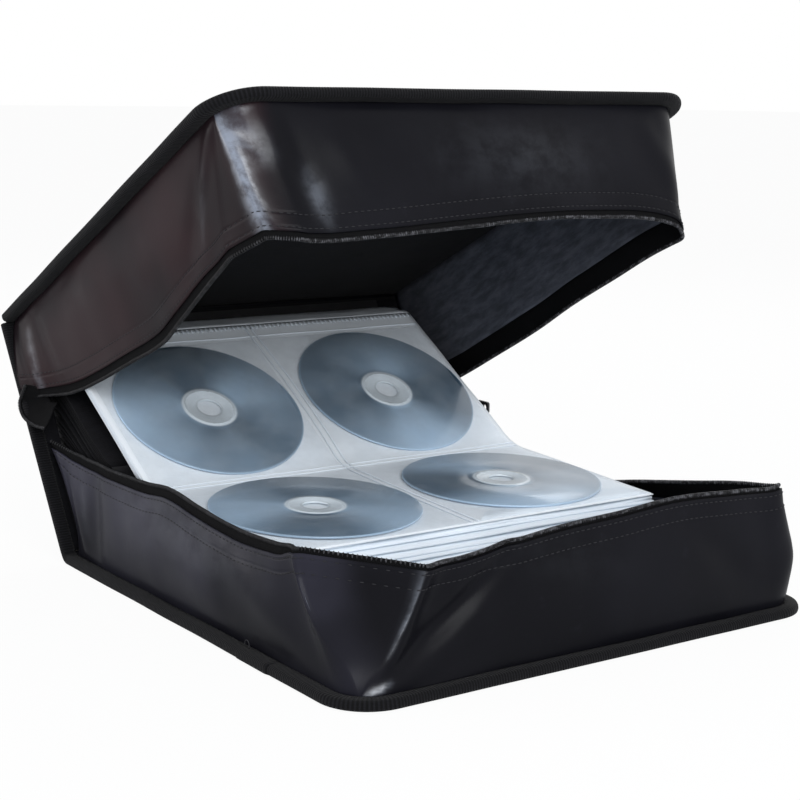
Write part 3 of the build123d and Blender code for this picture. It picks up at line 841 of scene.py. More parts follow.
def lower_wall():
    """The bottom's side wall, with a V-shaped facet at the near corner and a slump on the far side."""
    if "lower" not in walls:
        guides = [
            Guide(6.1, -147.5, -29.0, 72.0, 0.0, False, (-144.5, 14.0, 22.0), (-145.0, -4.0, 46.0)),
            Guide(26.0, -142.8, -3.0, 69.0, 1.0),
            Guide(56.0, -142.5, 35.0, 67.3, 2.0),
            Guide(101.0, -142.5, 93.0, 68.0, 3.0),
            Guide(121.0, -142.5, 120.0, 70.4, 3.0),
            Guide(161.0, -142.5, 160.0, 66.9, 4.0),
            Guide(201.0, -142.5, 203.5, 64.2, 4.0),
            Guide(231.0, -142.5, 234.0, 65.7, 3.0),
            Guide(288.0, -142.3, 252.0, 67.6, 0.0),
            Guide(310.7, -142.0, 261.5, 68.6, 0.0, True, (-143.0, 306.0, 30.0), (-144.0, 262.0, 28.0)),
            Guide(310.7, -104.0, 313.5, 66.0, 0.0, True, (-128.0, 312.5, 18.0), (-110.0, 314.0, 45.0)),
            Guide(333.0, -92.0, 313.3, 65.5, -3.0),
            Guide(355.0, -78.0, 313.0, 66.3, -4.0),
            Guide(395.0, -50.0, 313.0, 70.3, -1.0),
            Guide(431.0, -20.0, 313.0, 73.5, 1.0),
            Guide(471.0, 20.0, 313.0, 75.5, 2.0),
            Guide(513.0, 62.6, 313.0, 78.1, 2.0),
            Guide(557.0, 107.6, 313.0, 76.4, 2.0),
            Guide(575.4, 130.0, 312.8, 75.0, 2.0),
            Guide(591.1, 141.3, 311.5, 75.8, 4.0),
            Guide(606.8, 142.5, 304.0, 74.5, 6.0),
            Guide(622.3, 142.2, 279.5, 71.3, 8.0),
            Guide(654.3, 141.5, 247.5, 65.6, 10.0),
            Guide(696.3, 140.0, 205.5, 58.0, 12.0),
            Guide(746.3, 139.0, 155.5, 49.0, 13.0),
            Guide(800.0, 139.0, 101.5, 48.0, 13.0),
            Guide(838.0, 141.0, 63.5, 56.0, 9.0),
            Guide(860.0, 142.6, 40.0, 70.0, 3.0),
            Guide(873.0, 142.9, 27.0, 75.5, 1.0),
            Guide(883.0, 142.9, 14.0, 75.5, 0.0),
            Guide(895.7, 142.9, 4.0, 75.5, 0.0),
        ]
        folds = [
            (318.0, 0.12, 392.0, 0.80, 7.0, -3.5),
            (325.0, 0.10, 372.0, 0.38, 9.0, 2.5),
            (40.0, 0.15, 52.0, 0.85, 9.0, -2.2),
            (22.0, 0.10, 24.0, 0.9, 6.0, 1.6),
            (95.0, 0.5, 180.0, 0.30, 12.0, 1.5),
            (200.0, 0.55, 270.0, 0.20, 10.0, 1.5),
            (440.0, 0.15, 520.0, 0.45, 14.0, 1.2),
            (520.0, 0.75, 560.0, 0.30, 10.0, -1.5),
            (585.0, 0.25, 600.0, 0.55, 8.0, 2.0),
            (640.0, 0.35, 720.0, 0.50, 8.0, 3.0),
            (730.0, 0.20, 800.0, 0.55, 9.0, -3.0),
            (800.0, 0.40, 850.0, 0.70, 8.0, 2.5),
        ]
        # Painted highlights: lines (s0, v0, s1, v1, width, strength) along which the leather's colour is
        # lightened where it should catch the light.
        painted_highlights = [
            (311.0, 0.92, 312.0, 0.30, 1.9, 0.42),
            (313.5, 0.03, 322.0, 0.09, 2.2, 0.60),
            (70.0, 0.72, 215.0, 0.60, 24.0, 0.15),
            (30.0, 0.30, 36.0, 0.80, 6.0, 0.14),
            (395.0, 0.85, 470.0, 0.55, 18.0, 0.06),
        ]
        bare = (sizes().tape_show, sizes().tape_front)
        walls["lower"] = SoftWall(bottom, guides, folds, painted_highlights, bare, 1.7)
    return walls["lower"]


def upper_wall():
    """The lid's side wall. Its near rear end is sewn to the spine, and it hangs lower on the far side."""
    if "upper" not in walls:
        guides = [
            Guide(6.1, -154.0, 5.5, 57.0, 3.0),
            Guide(22.0, -147.5, 21.0, 62.0, 3.0),
            Guide(54.0, -142.7, 54.0, 70.5, 4.0),
            Guide(91.0, -142.5, 91.0, 76.0, 4.0),
            Guide(134.0, -142.5, 134.0, 80.0, 4.0),
            Guide(175.0, -142.5, 175.0, 83.0, 3.0),
            Guide(206.0, -142.5, 203.0, 80.0, 2.0),
            Guide(240.0, -142.5, 231.0, 75.4, 1.0),
            Guide(280.0, -142.5, 252.0, 72.2, 0.0),
            Guide(300.2, -142.8, 270.0, 70.4, 0.0, True, (-143.5, 292.0, 22.0), (-142.0, 272.0, 48.0)),
            Guide(300.2, -139.0, 300.0, 73.0, 0.0, True, (-144.5, 304.0, 25.0), (-143.5, 304.0, 50.0)),
            Guide(318.0, -128.0, 311.0, 77.3, -3.0),
            Guide(335.0, -117.0, 313.0, 79.4, -2.0),
            Guide(383.0, -67.2, 313.0, 78.8, 1.0),
            Guide(422.6, -28.3, 313.0, 76.4, 2.0),
            Guide(463.5, 12.6, 313.0, 74.4, 2.0),
            Guide(505.0, 54.0, 313.0, 73.4, 1.5),
            Guide(543.0, 92.0, 313.0, 74.0, 1.0),
            Guide(566.0, 114.0, 313.0, 76.5, 0.0),
            Guide(578.0, 128.0, 311.5, 80.0, 0.0),
            Guide(591.1, 138.0, 305.0, 84.5, 0.0),
            Guide(606.8, 142.0, 292.0, 84.0, 1.0),
            Guide(633.8, 142.5, 268.0, 82.8, 2.0),
            Guide(663.8, 142.5, 238.0, 83.4, 2.0),
            Guide(710.0, 142.5, 192.0, 84.0, 2.0),
            Guide(750.0, 142.5, 152.0, 86.4, 2.0),
            Guide(796.0, 142.5, 105.5, 87.0, 2.0),
            Guide(850.0, 142.5, 52.0, 86.8, 1.0),
            Guide(880.0, 142.5, 22.0, 84.0, 0.0),
            Guide(895.7, 142.5, 9.0, 80.0, 0.0),
        ]
        folds = [
            (303.0, 0.06, 316.0, 0.30, 6.0, -1.7),
            (322.0, 0.08, 328.0, 0.36, 7.0, 1.3),
            (330.0, 0.10, 345.0, 0.75, 9.0, -1.8),
            (360.0, 0.25, 372.0, 0.60, 10.0, 1.6),
            (18.0, 0.10, 22.0, 0.85, 6.0, 2.0),
            (34.0, 0.15, 44.0, 0.80, 9.0, -2.0),
            (268.0, 0.45, 294.0, 0.12, 6.0, 2.0),
            (240.0, 0.70, 284.0, 0.22, 8.0, -1.6),
            (120.0, 0.30, 210.0, 0.55, 14.0, 1.4),
            (430.0, 0.55, 540.0, 0.45, 16.0, 1.2),
            (565.0, 0.20, 585.0, 0.75, 8.0, 1.6),
        ]
        # Painted highlights: lines (s0, v0, s1, v1, width, strength) along which the leather's colour is
        # lightened where it should catch the light.
        painted_highlights = [
            (301.0, 0.06, 302.4, 0.98, 5.0, 0.95),
            (305.0, 0.10, 316.0, 0.36, 8.5, 0.42),
            (308.0, 0.03, 317.0, 0.05, 2.4, 0.45),
            (343.0, 0.52, 345.0, 0.86, 6.6, 0.34),
            (26.0, 0.20, 24.0, 0.90, 3.5, 0.32),
            (150.0, 0.35, 240.0, 0.25, 16.0, 0.05),
            (262.0, 0.75, 284.0, 0.25, 5.0, 0.14),
            (430.0, 0.45, 520.0, 0.45, 24.0, 0.13),
        ]
        bare = (sizes().tape_show, sizes().tape_front * 1.5)
        walls["upper"] = SoftWall(lid, guides, folds, painted_highlights, bare, 4.3)
    return walls["upper"]


def lower_bend():
    """The bodies and the span of y of the wall's rear end, which leans on the spine."""
    return ("base", "spine", Vector((0, wall_lean[0], 0)), Vector((0, wall_lean[1], 0)))


def upper_bend():
    """The lid's wall fans out between the spine and the lid."""
    return ("spine", "lid", lid.at(0, 0.010, 0.035), lid.at(0, 0.035, 0.010))


def wall_pieces(wall, word, body_bend):
    """The leather, the lining and the zip tape of the side wall on one panel."""
    size = sizes()
    columns = len(wall.places) - 1
    inside = wall.panel.at(0, size.depth / 2, 0.04)
    painted_highlight_values = []

    def leather_at(a, b):
        place = a * wall.length
        up = (wall.crest(place) - wall.show(place)) * (1 - b)
        painted_highlight_values.append(wall.painted_highlight_at(place, up))
        return wall.at(place, up, 0.0)[0]

    mesh = drape(columns, 36, leather_at, wall.length, 0.066)
    # Each leather point keeps its painted highlight value in an attribute that the leather's colour reads.
    painted_highlight_mask = mesh.verts.layers.float.new("painted_highlight_mask")
    for vert, share in zip(mesh.verts, painted_highlight_values):
        vert[painted_highlight_mask] = share
    face_away(mesh, inside)
    skin = make_piece(f"{word}_wall_leather", mesh, leather(True), (f"{word}_gusset",),
                      bend=body_bend, thickness=size.wall)

    def lining_at(a, b):
        place = a * wall.length
        return wall.at(place, (wall.crest(place) - size.tape_back + 0.002) * b, 0.00135)[0]

    mesh = drape(columns // 2, 14, lining_at, wall.length, 0.06)
    face_away(mesh, inside)
    cloth = make_piece(f"{word}_wall_lining", mesh, lining_cloth(True),
                       (f"{word}_gusset_lining",), bend=body_bend, thickness=lining_thickness)

    def tape_at(a, b):
        place = a * wall.length
        low = wall.crest(place) - size.tape_back
        return wall.at(place, low + (size.tape_back - 0.0001) * b, 0.0013)[0]

    mesh = drape(columns, 8, tape_at, wall.length, size.tape_back)
    face_away(mesh, inside)
    tape = make_piece(f"{word}_zip_band", mesh, woven_tape(), (f"{word}_zip_tape",),
                      bend=body_bend, thickness=0.0009)


class Beads:
    """Small rounded beads, gathered a handful at a time because each operator call scans its whole mesh."""

    def __init__(self):
        self.mesh = bmesh.new()
        self.part = bmesh.new()
        self.count = 0

    def add(self, centre, along, up, out, reach, around=6, rings=4):
        """A bead with its three half sizes along, out and up."""
        turn = Matrix((along, out, up)).transposed().to_4x4()
        shape = Matrix.Translation(centre) @ turn @ Matrix.Diagonal((*reach, 1.0))
        bmesh.ops.create_uvsphere(self.part, u_segments=around, v_segments=rings, radius=1.0, matrix=shape)
        self.count += 1
        if self.count % 16 == 0:
            add_part(self.mesh, self.part)
            self.part = bmesh.new()

    def done(self):
        add_part(self.mesh, self.part)
        return self.mesh


def add_part(target, part):
    """Move one bmesh into another."""
    extra = bpy.data.meshes.new("part")
    part.to_mesh(extra)
    part.free()
    target.from_mesh(extra)
    bpy.data.meshes.remove(extra)


def row_frames(wall, pitch, drop, inset, under_leather=False):
    """Frames at equal steps along a wall: point, direction along, outward, up."""
    found = []
    for index in range(int(wall.length / pitch)):
        place, after = (index + 0.5) * pitch, (index + 1.0) * pitch
        low = drop + (wall.show(place) if under_leather else 0.0)
        here, normal = wall.at(place, wall.crest(place) - low, inset)
        ahead, _ = wall.at(after, wall.crest(after) - low, inset)
        along = (ahead - here).normalized()
        out = wall.world(normal)
        out = (out - along * out.dot(along)).normalized()
        found.append((here, along, out, along.cross(out)))
    return found


def teeth_row(name, wall, node, bend):
    """The zip's coil on a wall's edge: one bead for each turn, on a core."""
    size = sizes()
    beads = Beads()
    for here, along, out, up in row_frames(wall, size.tooth, 0.0008, 0.0016):
        beads.add(here, along, up, out, coil_turn)
    return make_piece(name, beads.done(), teeth_nylon(), (node,), bend=bend)


def stitch_rows(name, wall, bend):
    """Two rows of topstitching under the leather's edge."""
    size = sizes()
    beads = Beads()
    for row in (size.first_row, size.second_row):
        for here, along, out, up in row_frames(wall, size.stitch, row, -0.00010, under_leather=True):
            beads.add(here, along, up, out, (size.stitch * 0.38, 0.00022, 0.00030))
    return make_piece(name, beads.done(), thread(), bend=bend)


# Bindings

def tape_profile(size):
    """The bound edge's section as (inset, n), from the inner face round the edge to the outer face."""
    inner, full = size.panel, size.panel + size.binding_top
    return [(size.binding, full - 0.0002), (0.0062, full), (0.0040, full), (0.0018, full - 0.0001),
            (0.0005, full - 0.0009), (0.0, full - 0.0022), (0.0, 0.0020), (0.0005, 0.0007),
            (0.0018, 0.0001), (0.0040, 0.0), (0.0062, 0.0), (size.binding, 0.0001),
            (size.binding, 0.0009), (0.0018, 0.0011), (0.0018, inner), (size.binding, inner)]


def tape_sweep(name, columns, run, place, material, stands_for=(), body=None, bend=None):
    """Sweep the binding's section along a path. place(a, inset, n) gives the points."""
    profile = tape_profile(sizes())
    count = len(profile)
    around = [0.0]
    for first, second in zip(profile, profile[1:] + profile[:1]):
        around.append(around[-1] + math.dist(first, second))
    mesh = bmesh.new()
    mapped = mesh.loops.layers.uv.new("surface")
    bmesh.ops.create_grid(mesh, x_segments=columns, y_segments=count, size=0.5)
    for face in mesh.faces:
        for corner in face.loops:
            b = round((corner.vert.co.y + 0.5) * count)
            corner[mapped].uv = ((corner.vert.co.x + 0.5) * run, around[b])
    for vert in mesh.verts:
        a = vert.co.x + 0.5
        inset, n = profile[round((vert.co.y + 0.5) * count) % count]
        vert.co = place(a, inset, n)
    bmesh.ops.remove_doubles(mesh, verts=mesh.verts, dist=1e-7)
    ends = [edge for edge in mesh.edges if edge.is_boundary]
    bmesh.ops.holes_fill(mesh, edges=ends, sides=0)
    bmesh.ops.recalc_face_normals(mesh, faces=mesh.faces)
    return make_piece(name, mesh, material, stands_for, body, bend)


def rib_lift(distance):
    """Raise every other column of the tape a little, as its ribs do."""
    return 0.00010 * math.cos(distance / sizes().rib * 2 * math.pi)


def panel_binding(panel, word, body, seed):
    size = sizes()
    run = outline_length()
    start, end = fold_gap, run - fold_gap

    def place(a, inset, n):
        s = start + a * (end - start)
        wave = 0.5 * (1 + ripple(s, 0.0, seed, 0.045, seed))
        edge = max(0.0, 1 - inset / size.binding)
        outer = rib_lift(s) * (1 if n > size.panel or inset < 0.001 else 0)
        (x, u), _ = outline(s, inset - outer * edge + 0.0006 * wave * edge)
        rise = 0.0007 * wave * (1 if n > 0.002 else 0) + (outer if n > size.panel else 0.0)
        return panel.at(x, u, n + rise)

    return tape_sweep(f"{word}_binding_tape", int((end - start) / (size.rib / 2)), end - start, place,
                      ribbed_tape(), (f"{word}_binding",), body)


def spine_bindings():
    size = sizes()
    run = spine_height - 2 * fold_gap
    for side, word in ((-1, "near"), (1, "far")):
        def place(a, inset, n, side=side):
            along = fold_gap + a * run
            outer = rib_lift(along) if n > size.panel else 0.0
            return spine.at(side * (size.width / 2 - inset), along, n + outer)

        tape_sweep(f"spine_binding_tape_{word}", int(run / (size.rib / 2)), run, place, ribbed_tape(),
                   ("spine_binding",) if side < 0 else (), "spine")


def fold_path(first, second, share, n):
    """Point (y, z) on the bend between two panels, set in by n."""
    start = first.at(0, fold_gap, 0)
    corner = first.fold
    end = second.at(0, fold_gap, 0)
    point = start * (1 - share) ** 2 + corner * 2 * share * (1 - share) + end * share ** 2
    inward = (first.inward * (1 - share) + second.inward * share).normalized()
    return point + inward * n


# Operators

class PieceOperator:
    """What the piece operators share."""

    bl_options = {"REGISTER"}


class WALLET_OT_covers(PieceOperator, bpy.types.Operator):
    """Make the leather covers and the linings of the bottom, the spine and the lid"""

    bl_idname = "wallet.covers"
    bl_label = "Covers and linings"

    def execute(self, context):
        size = sizes()
        half, radius = size.width / 2, size.corner

        def reach(u, inset):
            straight = size.depth - radius
            if u <= straight:
                return half - inset
            drop = min(u - straight, radius - inset)
            return half - radius + math.sqrt(max((radius - inset) ** 2 - drop ** 2, 0.0))

        for panel, word, body, crown in ((bottom, "bottom", "base", 0.0), (lid, "lid", "lid", 0.0012)):
            def cover_at(a, b, panel=panel, crown=crown):
                u = fold_gap + b * (size.depth - fold_gap - size.binding)
                x = (2 * a - 1) * reach(u, size.binding)
                swell = crown * (1 - (2 * a - 1) ** 6) * (1 - (2 * b - 1) ** 6)
                swell += 0.0002 * ripple(x, u, 0.0, 0.05, 2.0) * (1 if crown else 0)
                return panel.at(x, u, -swell)

            mesh = drape(60, 64, cover_at, size.width, size.depth)
            face_away(mesh, panel.at(0, size.depth / 2, 0.05))
            make_piece(f"{word}_cover_leather", mesh, leather(False), (f"{word}_cover",), body,
                       thickness=size.cover)

            def lining_at(a, b, panel=panel):
                u = fold_gap + b * (size.depth - fold_gap - lining_inset)
                x = (2 * a - 1) * reach(u, lining_inset)
                return panel.at(x, u, size.panel + 0.0002 + 0.0002 * ripple(x, u, 0.0, 0.03, 8.0))

            mesh = drape(60, 64, lining_at, size.width, size.depth)
            face_away(mesh, panel.at(0, size.depth / 2, -0.05))
            make_piece(f"{word}_lining_cloth", mesh, lining_cloth(), (f"{word}_lining",), body,
                       thickness=lining_thickness)

        def spine_cover_at(a, b):
            swell = 0.0010 * (1 - (2 * a - 1) ** 8) * (1 - (2 * b - 1) ** 8)
            x = (2 * a - 1) * (half - size.binding)
            along = fold_gap + b * (spine_height - 2 * fold_gap)
            return spine.at(x, along, -swell - 0.0002 * ripple(x, along, 0.0, 0.05, 5.0))

        mesh = drape(60, 34, spine_cover_at, size.width, spine_height)
        face_away(mesh, spine.at(0, spine_height / 2, 0.05))
        make_piece("spine_cover_leather", mesh, leather(False), ("spine_cover",), "spine",
                   thickness=size.cover)

        def spine_lining_at(a, b):
            x = (2 * a - 1) * (half - lining_inset)
            along = fold_gap + b * (spine_height - 2 * fold_gap)
            return spine.at(x, along, size.panel + 0.0001)

        mesh = drape(60, 30, spine_lining_at, size.width, spine_height)
        face_away(mesh, spine.at(0, spine_height / 2, -0.05))
        make_piece("spine_lining_cloth", mesh, lining_cloth(), ("spine_lining",), "spine",
                   thickness=lining_thickness)
        for node in ("bottom_board", "spine_board", "lid_board"):
            paint_node(node, grey_board())
        return {"FINISHED"}


def paint_node(node, material):
    """Give a CAD node a better material."""
    slots = frame["nodes"][node].data.materials
    slots.clear()
    slots.append(material)


class WALLET_OT_bindings(PieceOperator, bpy.types.Operator):
    """Bind the panels' edges with ribbed tape, with its lap on the near side"""

    bl_idname = "wallet.bindings"
    bl_label = "Bindings"

    def execute(self, context):
        size = sizes()
        panel_binding(bottom, "bottom", "base", 1.0)
        panel_binding(lid, "lid", "lid", 6.0)
        spine_bindings()
        low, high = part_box("binding_lap")

        def lap_at(a, inset, n):
            y = high.y + (low.y - high.y) * a
            ends = ease(min(a, 1 - a) / 0.06)
            swell = 0.0007 * ends
            tilt = 0.0012 * (a - 0.5)
            x = -size.width / 2 + inset * (1.0 - 0.04 * ends) - tilt * 0.2 - swell * 0.6 * (inset < 0.004)
            return Vector((x, y, n + (swell if n > 0.003 else 0.0)))

        tape_sweep("binding_lap_tape", 40, 0.032, lap_at, ribbed_tape(), ("binding_lap",),
                   "base")
        beads = Beads()
        for index in range(14):
            turn = index / 13 * math.pi * 1.5
            centre = Vector((-0.1475, high.y - 0.004 + 0.0022 * math.cos(turn),
                             size.panel + size.binding_top + 0.0026 + 0.0022 * math.sin(turn)))
            along = Vector((0, -math.sin(turn), math.cos(turn)))
            out = Vector((1, 0, 0))
            beads.add(centre, along, along.cross(out), out, (0.0006, 0.00032, 0.00032), 8, 6)
        make_piece("lap_thread_loop", beads.done(), thread(), body="base")
        for first, second, pair, word in ((bottom, spine, ("base", "spine"), "spine_fold"),
                                          (spine_top, lid, ("spine", "lid"), "lid_fold")):
            start, end = first.at(0, 0.010, 0.0), second.at(0, 0.010, 0.0)

            def skin_at(a, b, first=first, second=second):
                point = fold_path(first, second, b, 0.0)
                wave = 0.0003 * ripple(a * 0.3, b * 0.02, 0.0, 0.02, 3.0)
                return Vector(((2 * a - 1) * (size.width / 2 - size.binding), 0, 0)) + point * (1 + wave)

            mesh = drape(60, 12, skin_at, size.width, 0.012)
            face_away(mesh, fold_path(first, second, 0.5, 0.03))
            make_piece(f"{word}_leather", mesh, leather(False), (f"{word}_strip",),
                       bend=(*pair, start, end), thickness=size.cover)
            for side, end_word in ((-1, "near"), (1, "far")):
                def place(a, inset, n, side=side, first=first, second=second):
                    point = fold_path(first, second, a, n + (rib_lift(a * 0.012) if n > size.panel else 0))
                    return Vector((side * (size.width / 2 - inset), 0, 0)) + point

                tape_sweep(f"{word}_tape_{end_word}", 16, 0.012, place, ribbed_tape(),
                           bend=(*pair, start, end))
        return {"FINISHED"}


class WALLET_OT_walls(PieceOperator, bpy.types.Operator):
    """Make the soft side walls: leather, lining, zip tape and topstitching"""

    bl_idname = "wallet.walls"
    bl_label = "Side walls"

    def execute(self, context):
        wall_pieces(lower_wall(), "lower", lower_bend())
        wall_pieces(upper_wall(), "upper", upper_bend())
        stitch_rows("lower_topstitching", lower_wall(), lower_bend())
        stitch_rows("upper_topstitching", upper_wall(), upper_bend())
        return {"FINISHED"}


class WALLET_OT_zip(PieceOperator, bpy.types.Operator):
    """Make the zip's teeth, the turns at the spine, the slider and its pull"""

    bl_idname = "wallet.zip"
    bl_label = "Zip"

    def execute(self, context):
        size = sizes()
        teeth_row("lower_zip_teeth", lower_wall(), "lower_zip_coil", lower_bend())
        teeth_row("upper_zip_teeth", upper_wall(), "upper_zip_coil", upper_bend())
        near_turn = ((0.112, 0.0150), (0.1085, 0.0075), (0.1045, 0.0012), (0.0990, 0.0010), (0.0930, 0.0045),
                     (0.0860, 0.0135), (0.0800, 0.0250))
        far_turn = ((0.1040, 0.0275), (0.1035, 0.0180), (0.1000, 0.0110), (0.0940, 0.0080), (0.0880, 0.0110),
                    (0.0845, 0.0180), (0.0840, 0.0275))
        near_flat, far_flat = (0.045, 0.0155), (0.028, 0.0100)
        for side, word, x, turn, flat in ((-1, "near", -0.1535, near_turn, near_flat),
                                          (1, "far", 0.1385, far_turn, far_flat)):
            def turn_at(a, turn=turn):
                """Point on the turn: a soft curve through its corners."""
                place = min(max(a, 0.0), 0.9999) * (len(turn) - 1)
                k = int(place)
                t = place - k
                p0, p1, p2, p3 = (turn[min(max(k + step, 0), len(turn) - 1)] for step in (-1, 0, 1, 2))
                return [0.5 * (2 * b + (c - a0) * t + (2 * a0 - 5 * b + 4 * c - d) * t * t
                               + (3 * b - a0 - 3 * c + d) * t ** 3) for a0, b, c, d in zip(p0, p1, p2, p3)]

            beads = Beads()
            run = sum(math.dist(p, q) for p, q in zip(turn, turn[1:]))
            count = int(run / size.tooth)
            for index in range(count):
                along, inward = turn_at((index + 0.5) / count)
                ahead = turn_at((index + 0.6) / count)
                heading = (spine.away * (ahead[0] - along) + spine.inward * (ahead[1] - inward)).normalized()
                out = Vector((1, 0, 0))
                beads.add(spine.at(x, along, inward), heading, heading.cross(out), out, coil_turn)
            make_piece(f"zip_turn_{word}_teeth", beads.done(), teeth_nylon(),
                       (f"zip_loop_{word}",), "spine")

            def band_at(a, b, x=x, turn=turn, side=side):
                along, inward = turn_at(a)
                middle = (sum(p[0] for p in turn) / len(turn), 0.030)
                shrink = 1 - 0.72 * b
                inset = 0.0105 * b ** 0.8 + 0.0010 * ripple(a, b, 0.0, 0.35, 4.0) * b
                return spine.at(x - side * (inset if side < 0 else inset * 0.2),
                                middle[0] + (along - middle[0]) * shrink + 0.002 * b,
                                inward + (middle[1] - inward) * (1 - shrink) * (0.9 if side < 0 else 0.2))

            mesh = drape(36, 10, band_at, 0.045, 0.016)
            face_away(mesh, spine.at(0, 0.094, 0.04))
            band = make_piece(f"zip_turn_{word}_band", mesh, woven_tape(), body="spine",
                              thickness=0.0008)
        for node in ("zip_slider", "zip_pull"):
            smooth_copy(node, f"{node}_body", painted_metal(), node[4:], 0.0003)
        return {"FINISHED"}


def smooth_copy(node, name, material, body, width):
    """Copy a CAD node's mesh, join its faces and round its edges."""
    mesh = bmesh.new()
    mesh.from_mesh(frame["nodes"][node].data)
    bmesh.ops.remove_doubles(mesh, verts=mesh.verts, dist=1e-6)
    bmesh.ops.dissolve_limit(mesh, angle_limit=math.radians(2.0), verts=mesh.verts, edges=mesh.edges)
    sharp = [edge for edge in mesh.edges if len(edge.link_faces) == 2
             and edge.calc_face_angle(0.0) > math.radians(35)]
    bmesh.ops.bevel(mesh, geom=sharp, offset=width, segments=2, profile=0.5, affect="EDGES", material=-1,
                    clamp_overlap=True)
    bmesh.ops.triangulate(mesh, faces=[face for face in mesh.faces if len(face.verts) > 4])
    bmesh.ops.recalc_face_normals(mesh, faces=mesh.faces)
    return make_piece(name, mesh, material, (node,), body, smooth=False)


class WALLET_OT_webs(PieceOperator, bpy.types.Operator):
    """Make the black cloth between the side walls' rear ends and the spine"""

    bl_idname = "wallet.webs"
    bl_label = "Webs"

    def execute(self, context):
        wall = lower_wall()
        # Where a web is sewn: its distance from the wall's rear end, and its x at the wall and the spine
        sewn, wall_x, spine_x = 0.0015, 0.1412, 0.1405
        for side, word, width in ((-1, "near", 0.0125), (1, "far", 0.0208)):
            def cloth_at(a, b, side=side):
                place = sewn if side < 0 else wall.length - sewn
                height = 0.004 + 0.060 * b
                front = wall.at(place, height, 0.0022)[0]
                front.x = side * wall_x
                back = spine.at(side * spine_x, fold_gap + 0.066 * b, 0.0058)
                point = front.lerp(back, a)
                sag = math.sin(a * math.pi) * (0.0022 + 0.0018 * ripple(a, b * 3, side, 0.5, 2.0))
                point.x -= side * sag
                return point

            mesh = drape(18, 30, cloth_at, 0.02, 0.066)
            face_away(mesh, Vector((0, 0.17, 0.04)))
            make_piece(f"web_{word}_cloth", mesh, lining_cloth(), (f"web_{word}",),
                       bend=lower_bend(), thickness=lining_thickness)
        return {"FINISHED"}


# Leaves

class LeafLine:
    """The top leaf's side view: a sloping half, a soft crease and a half that lies on the pile."""

    def __init__(self):
        leaf = leaf_sizes()
        self.rear = Vector((seam.y, seam.z))
        self.slope_rear = Vector((-math.cos(leaf.rear_slope), -math.sin(leaf.rear_slope)))
        self.slope_front = Vector((-math.cos(leaf.front_slope), -math.sin(leaf.front_slope)))
        self.crease = self.rear + self.slope_rear * leaf.rear_panel
        self.total = leaf.rear_panel + leaf.front_panel

    def at(self, run, lift=0.0):
        """Point (y, z) at a distance from the seam, raised off the leaf."""
        leaf = leaf_sizes()
        soft = 0.012
        gap = run - leaf.rear_panel
        if gap <= -soft:
            point, share = self.rear + self.slope_rear * run, 0.0
        elif gap >= soft:
            point, share = self.crease + self.slope_front * gap, 1.0
        else:
            share = (gap + soft) / (2 * soft)
            start = self.crease - self.slope_rear * soft
            end = self.crease + self.slope_front * soft
            point = start * (1 - share) ** 2 + self.crease * 2 * share * (1 - share) + end * share ** 2
        heading = (self.slope_rear * (1 - share) + self.slope_front * share).normalized()
        normal = Vector((heading.y, -heading.x))
        if normal.y < 0:
            normal = -normal
        return point + normal * lift


def facet_room(y, z):
    """How near the side a leaf may reach behind the V-shaped facet, once the case is closed.

    The facet starts further back, and lies further in at the front, the higher up a leaf is.
    """
    facet_low, facet_tall = 0.030, 0.037
    front, side, free_side = -0.1515, -0.1435, -0.1405
    rise = (z - facet_low) / facet_tall
    start = -0.122 + 0.022 * rise
    end_x = -0.119 + 0.015 * rise
    return free_side + max(start - y, 0.0) / (start - front) * (end_x - side)


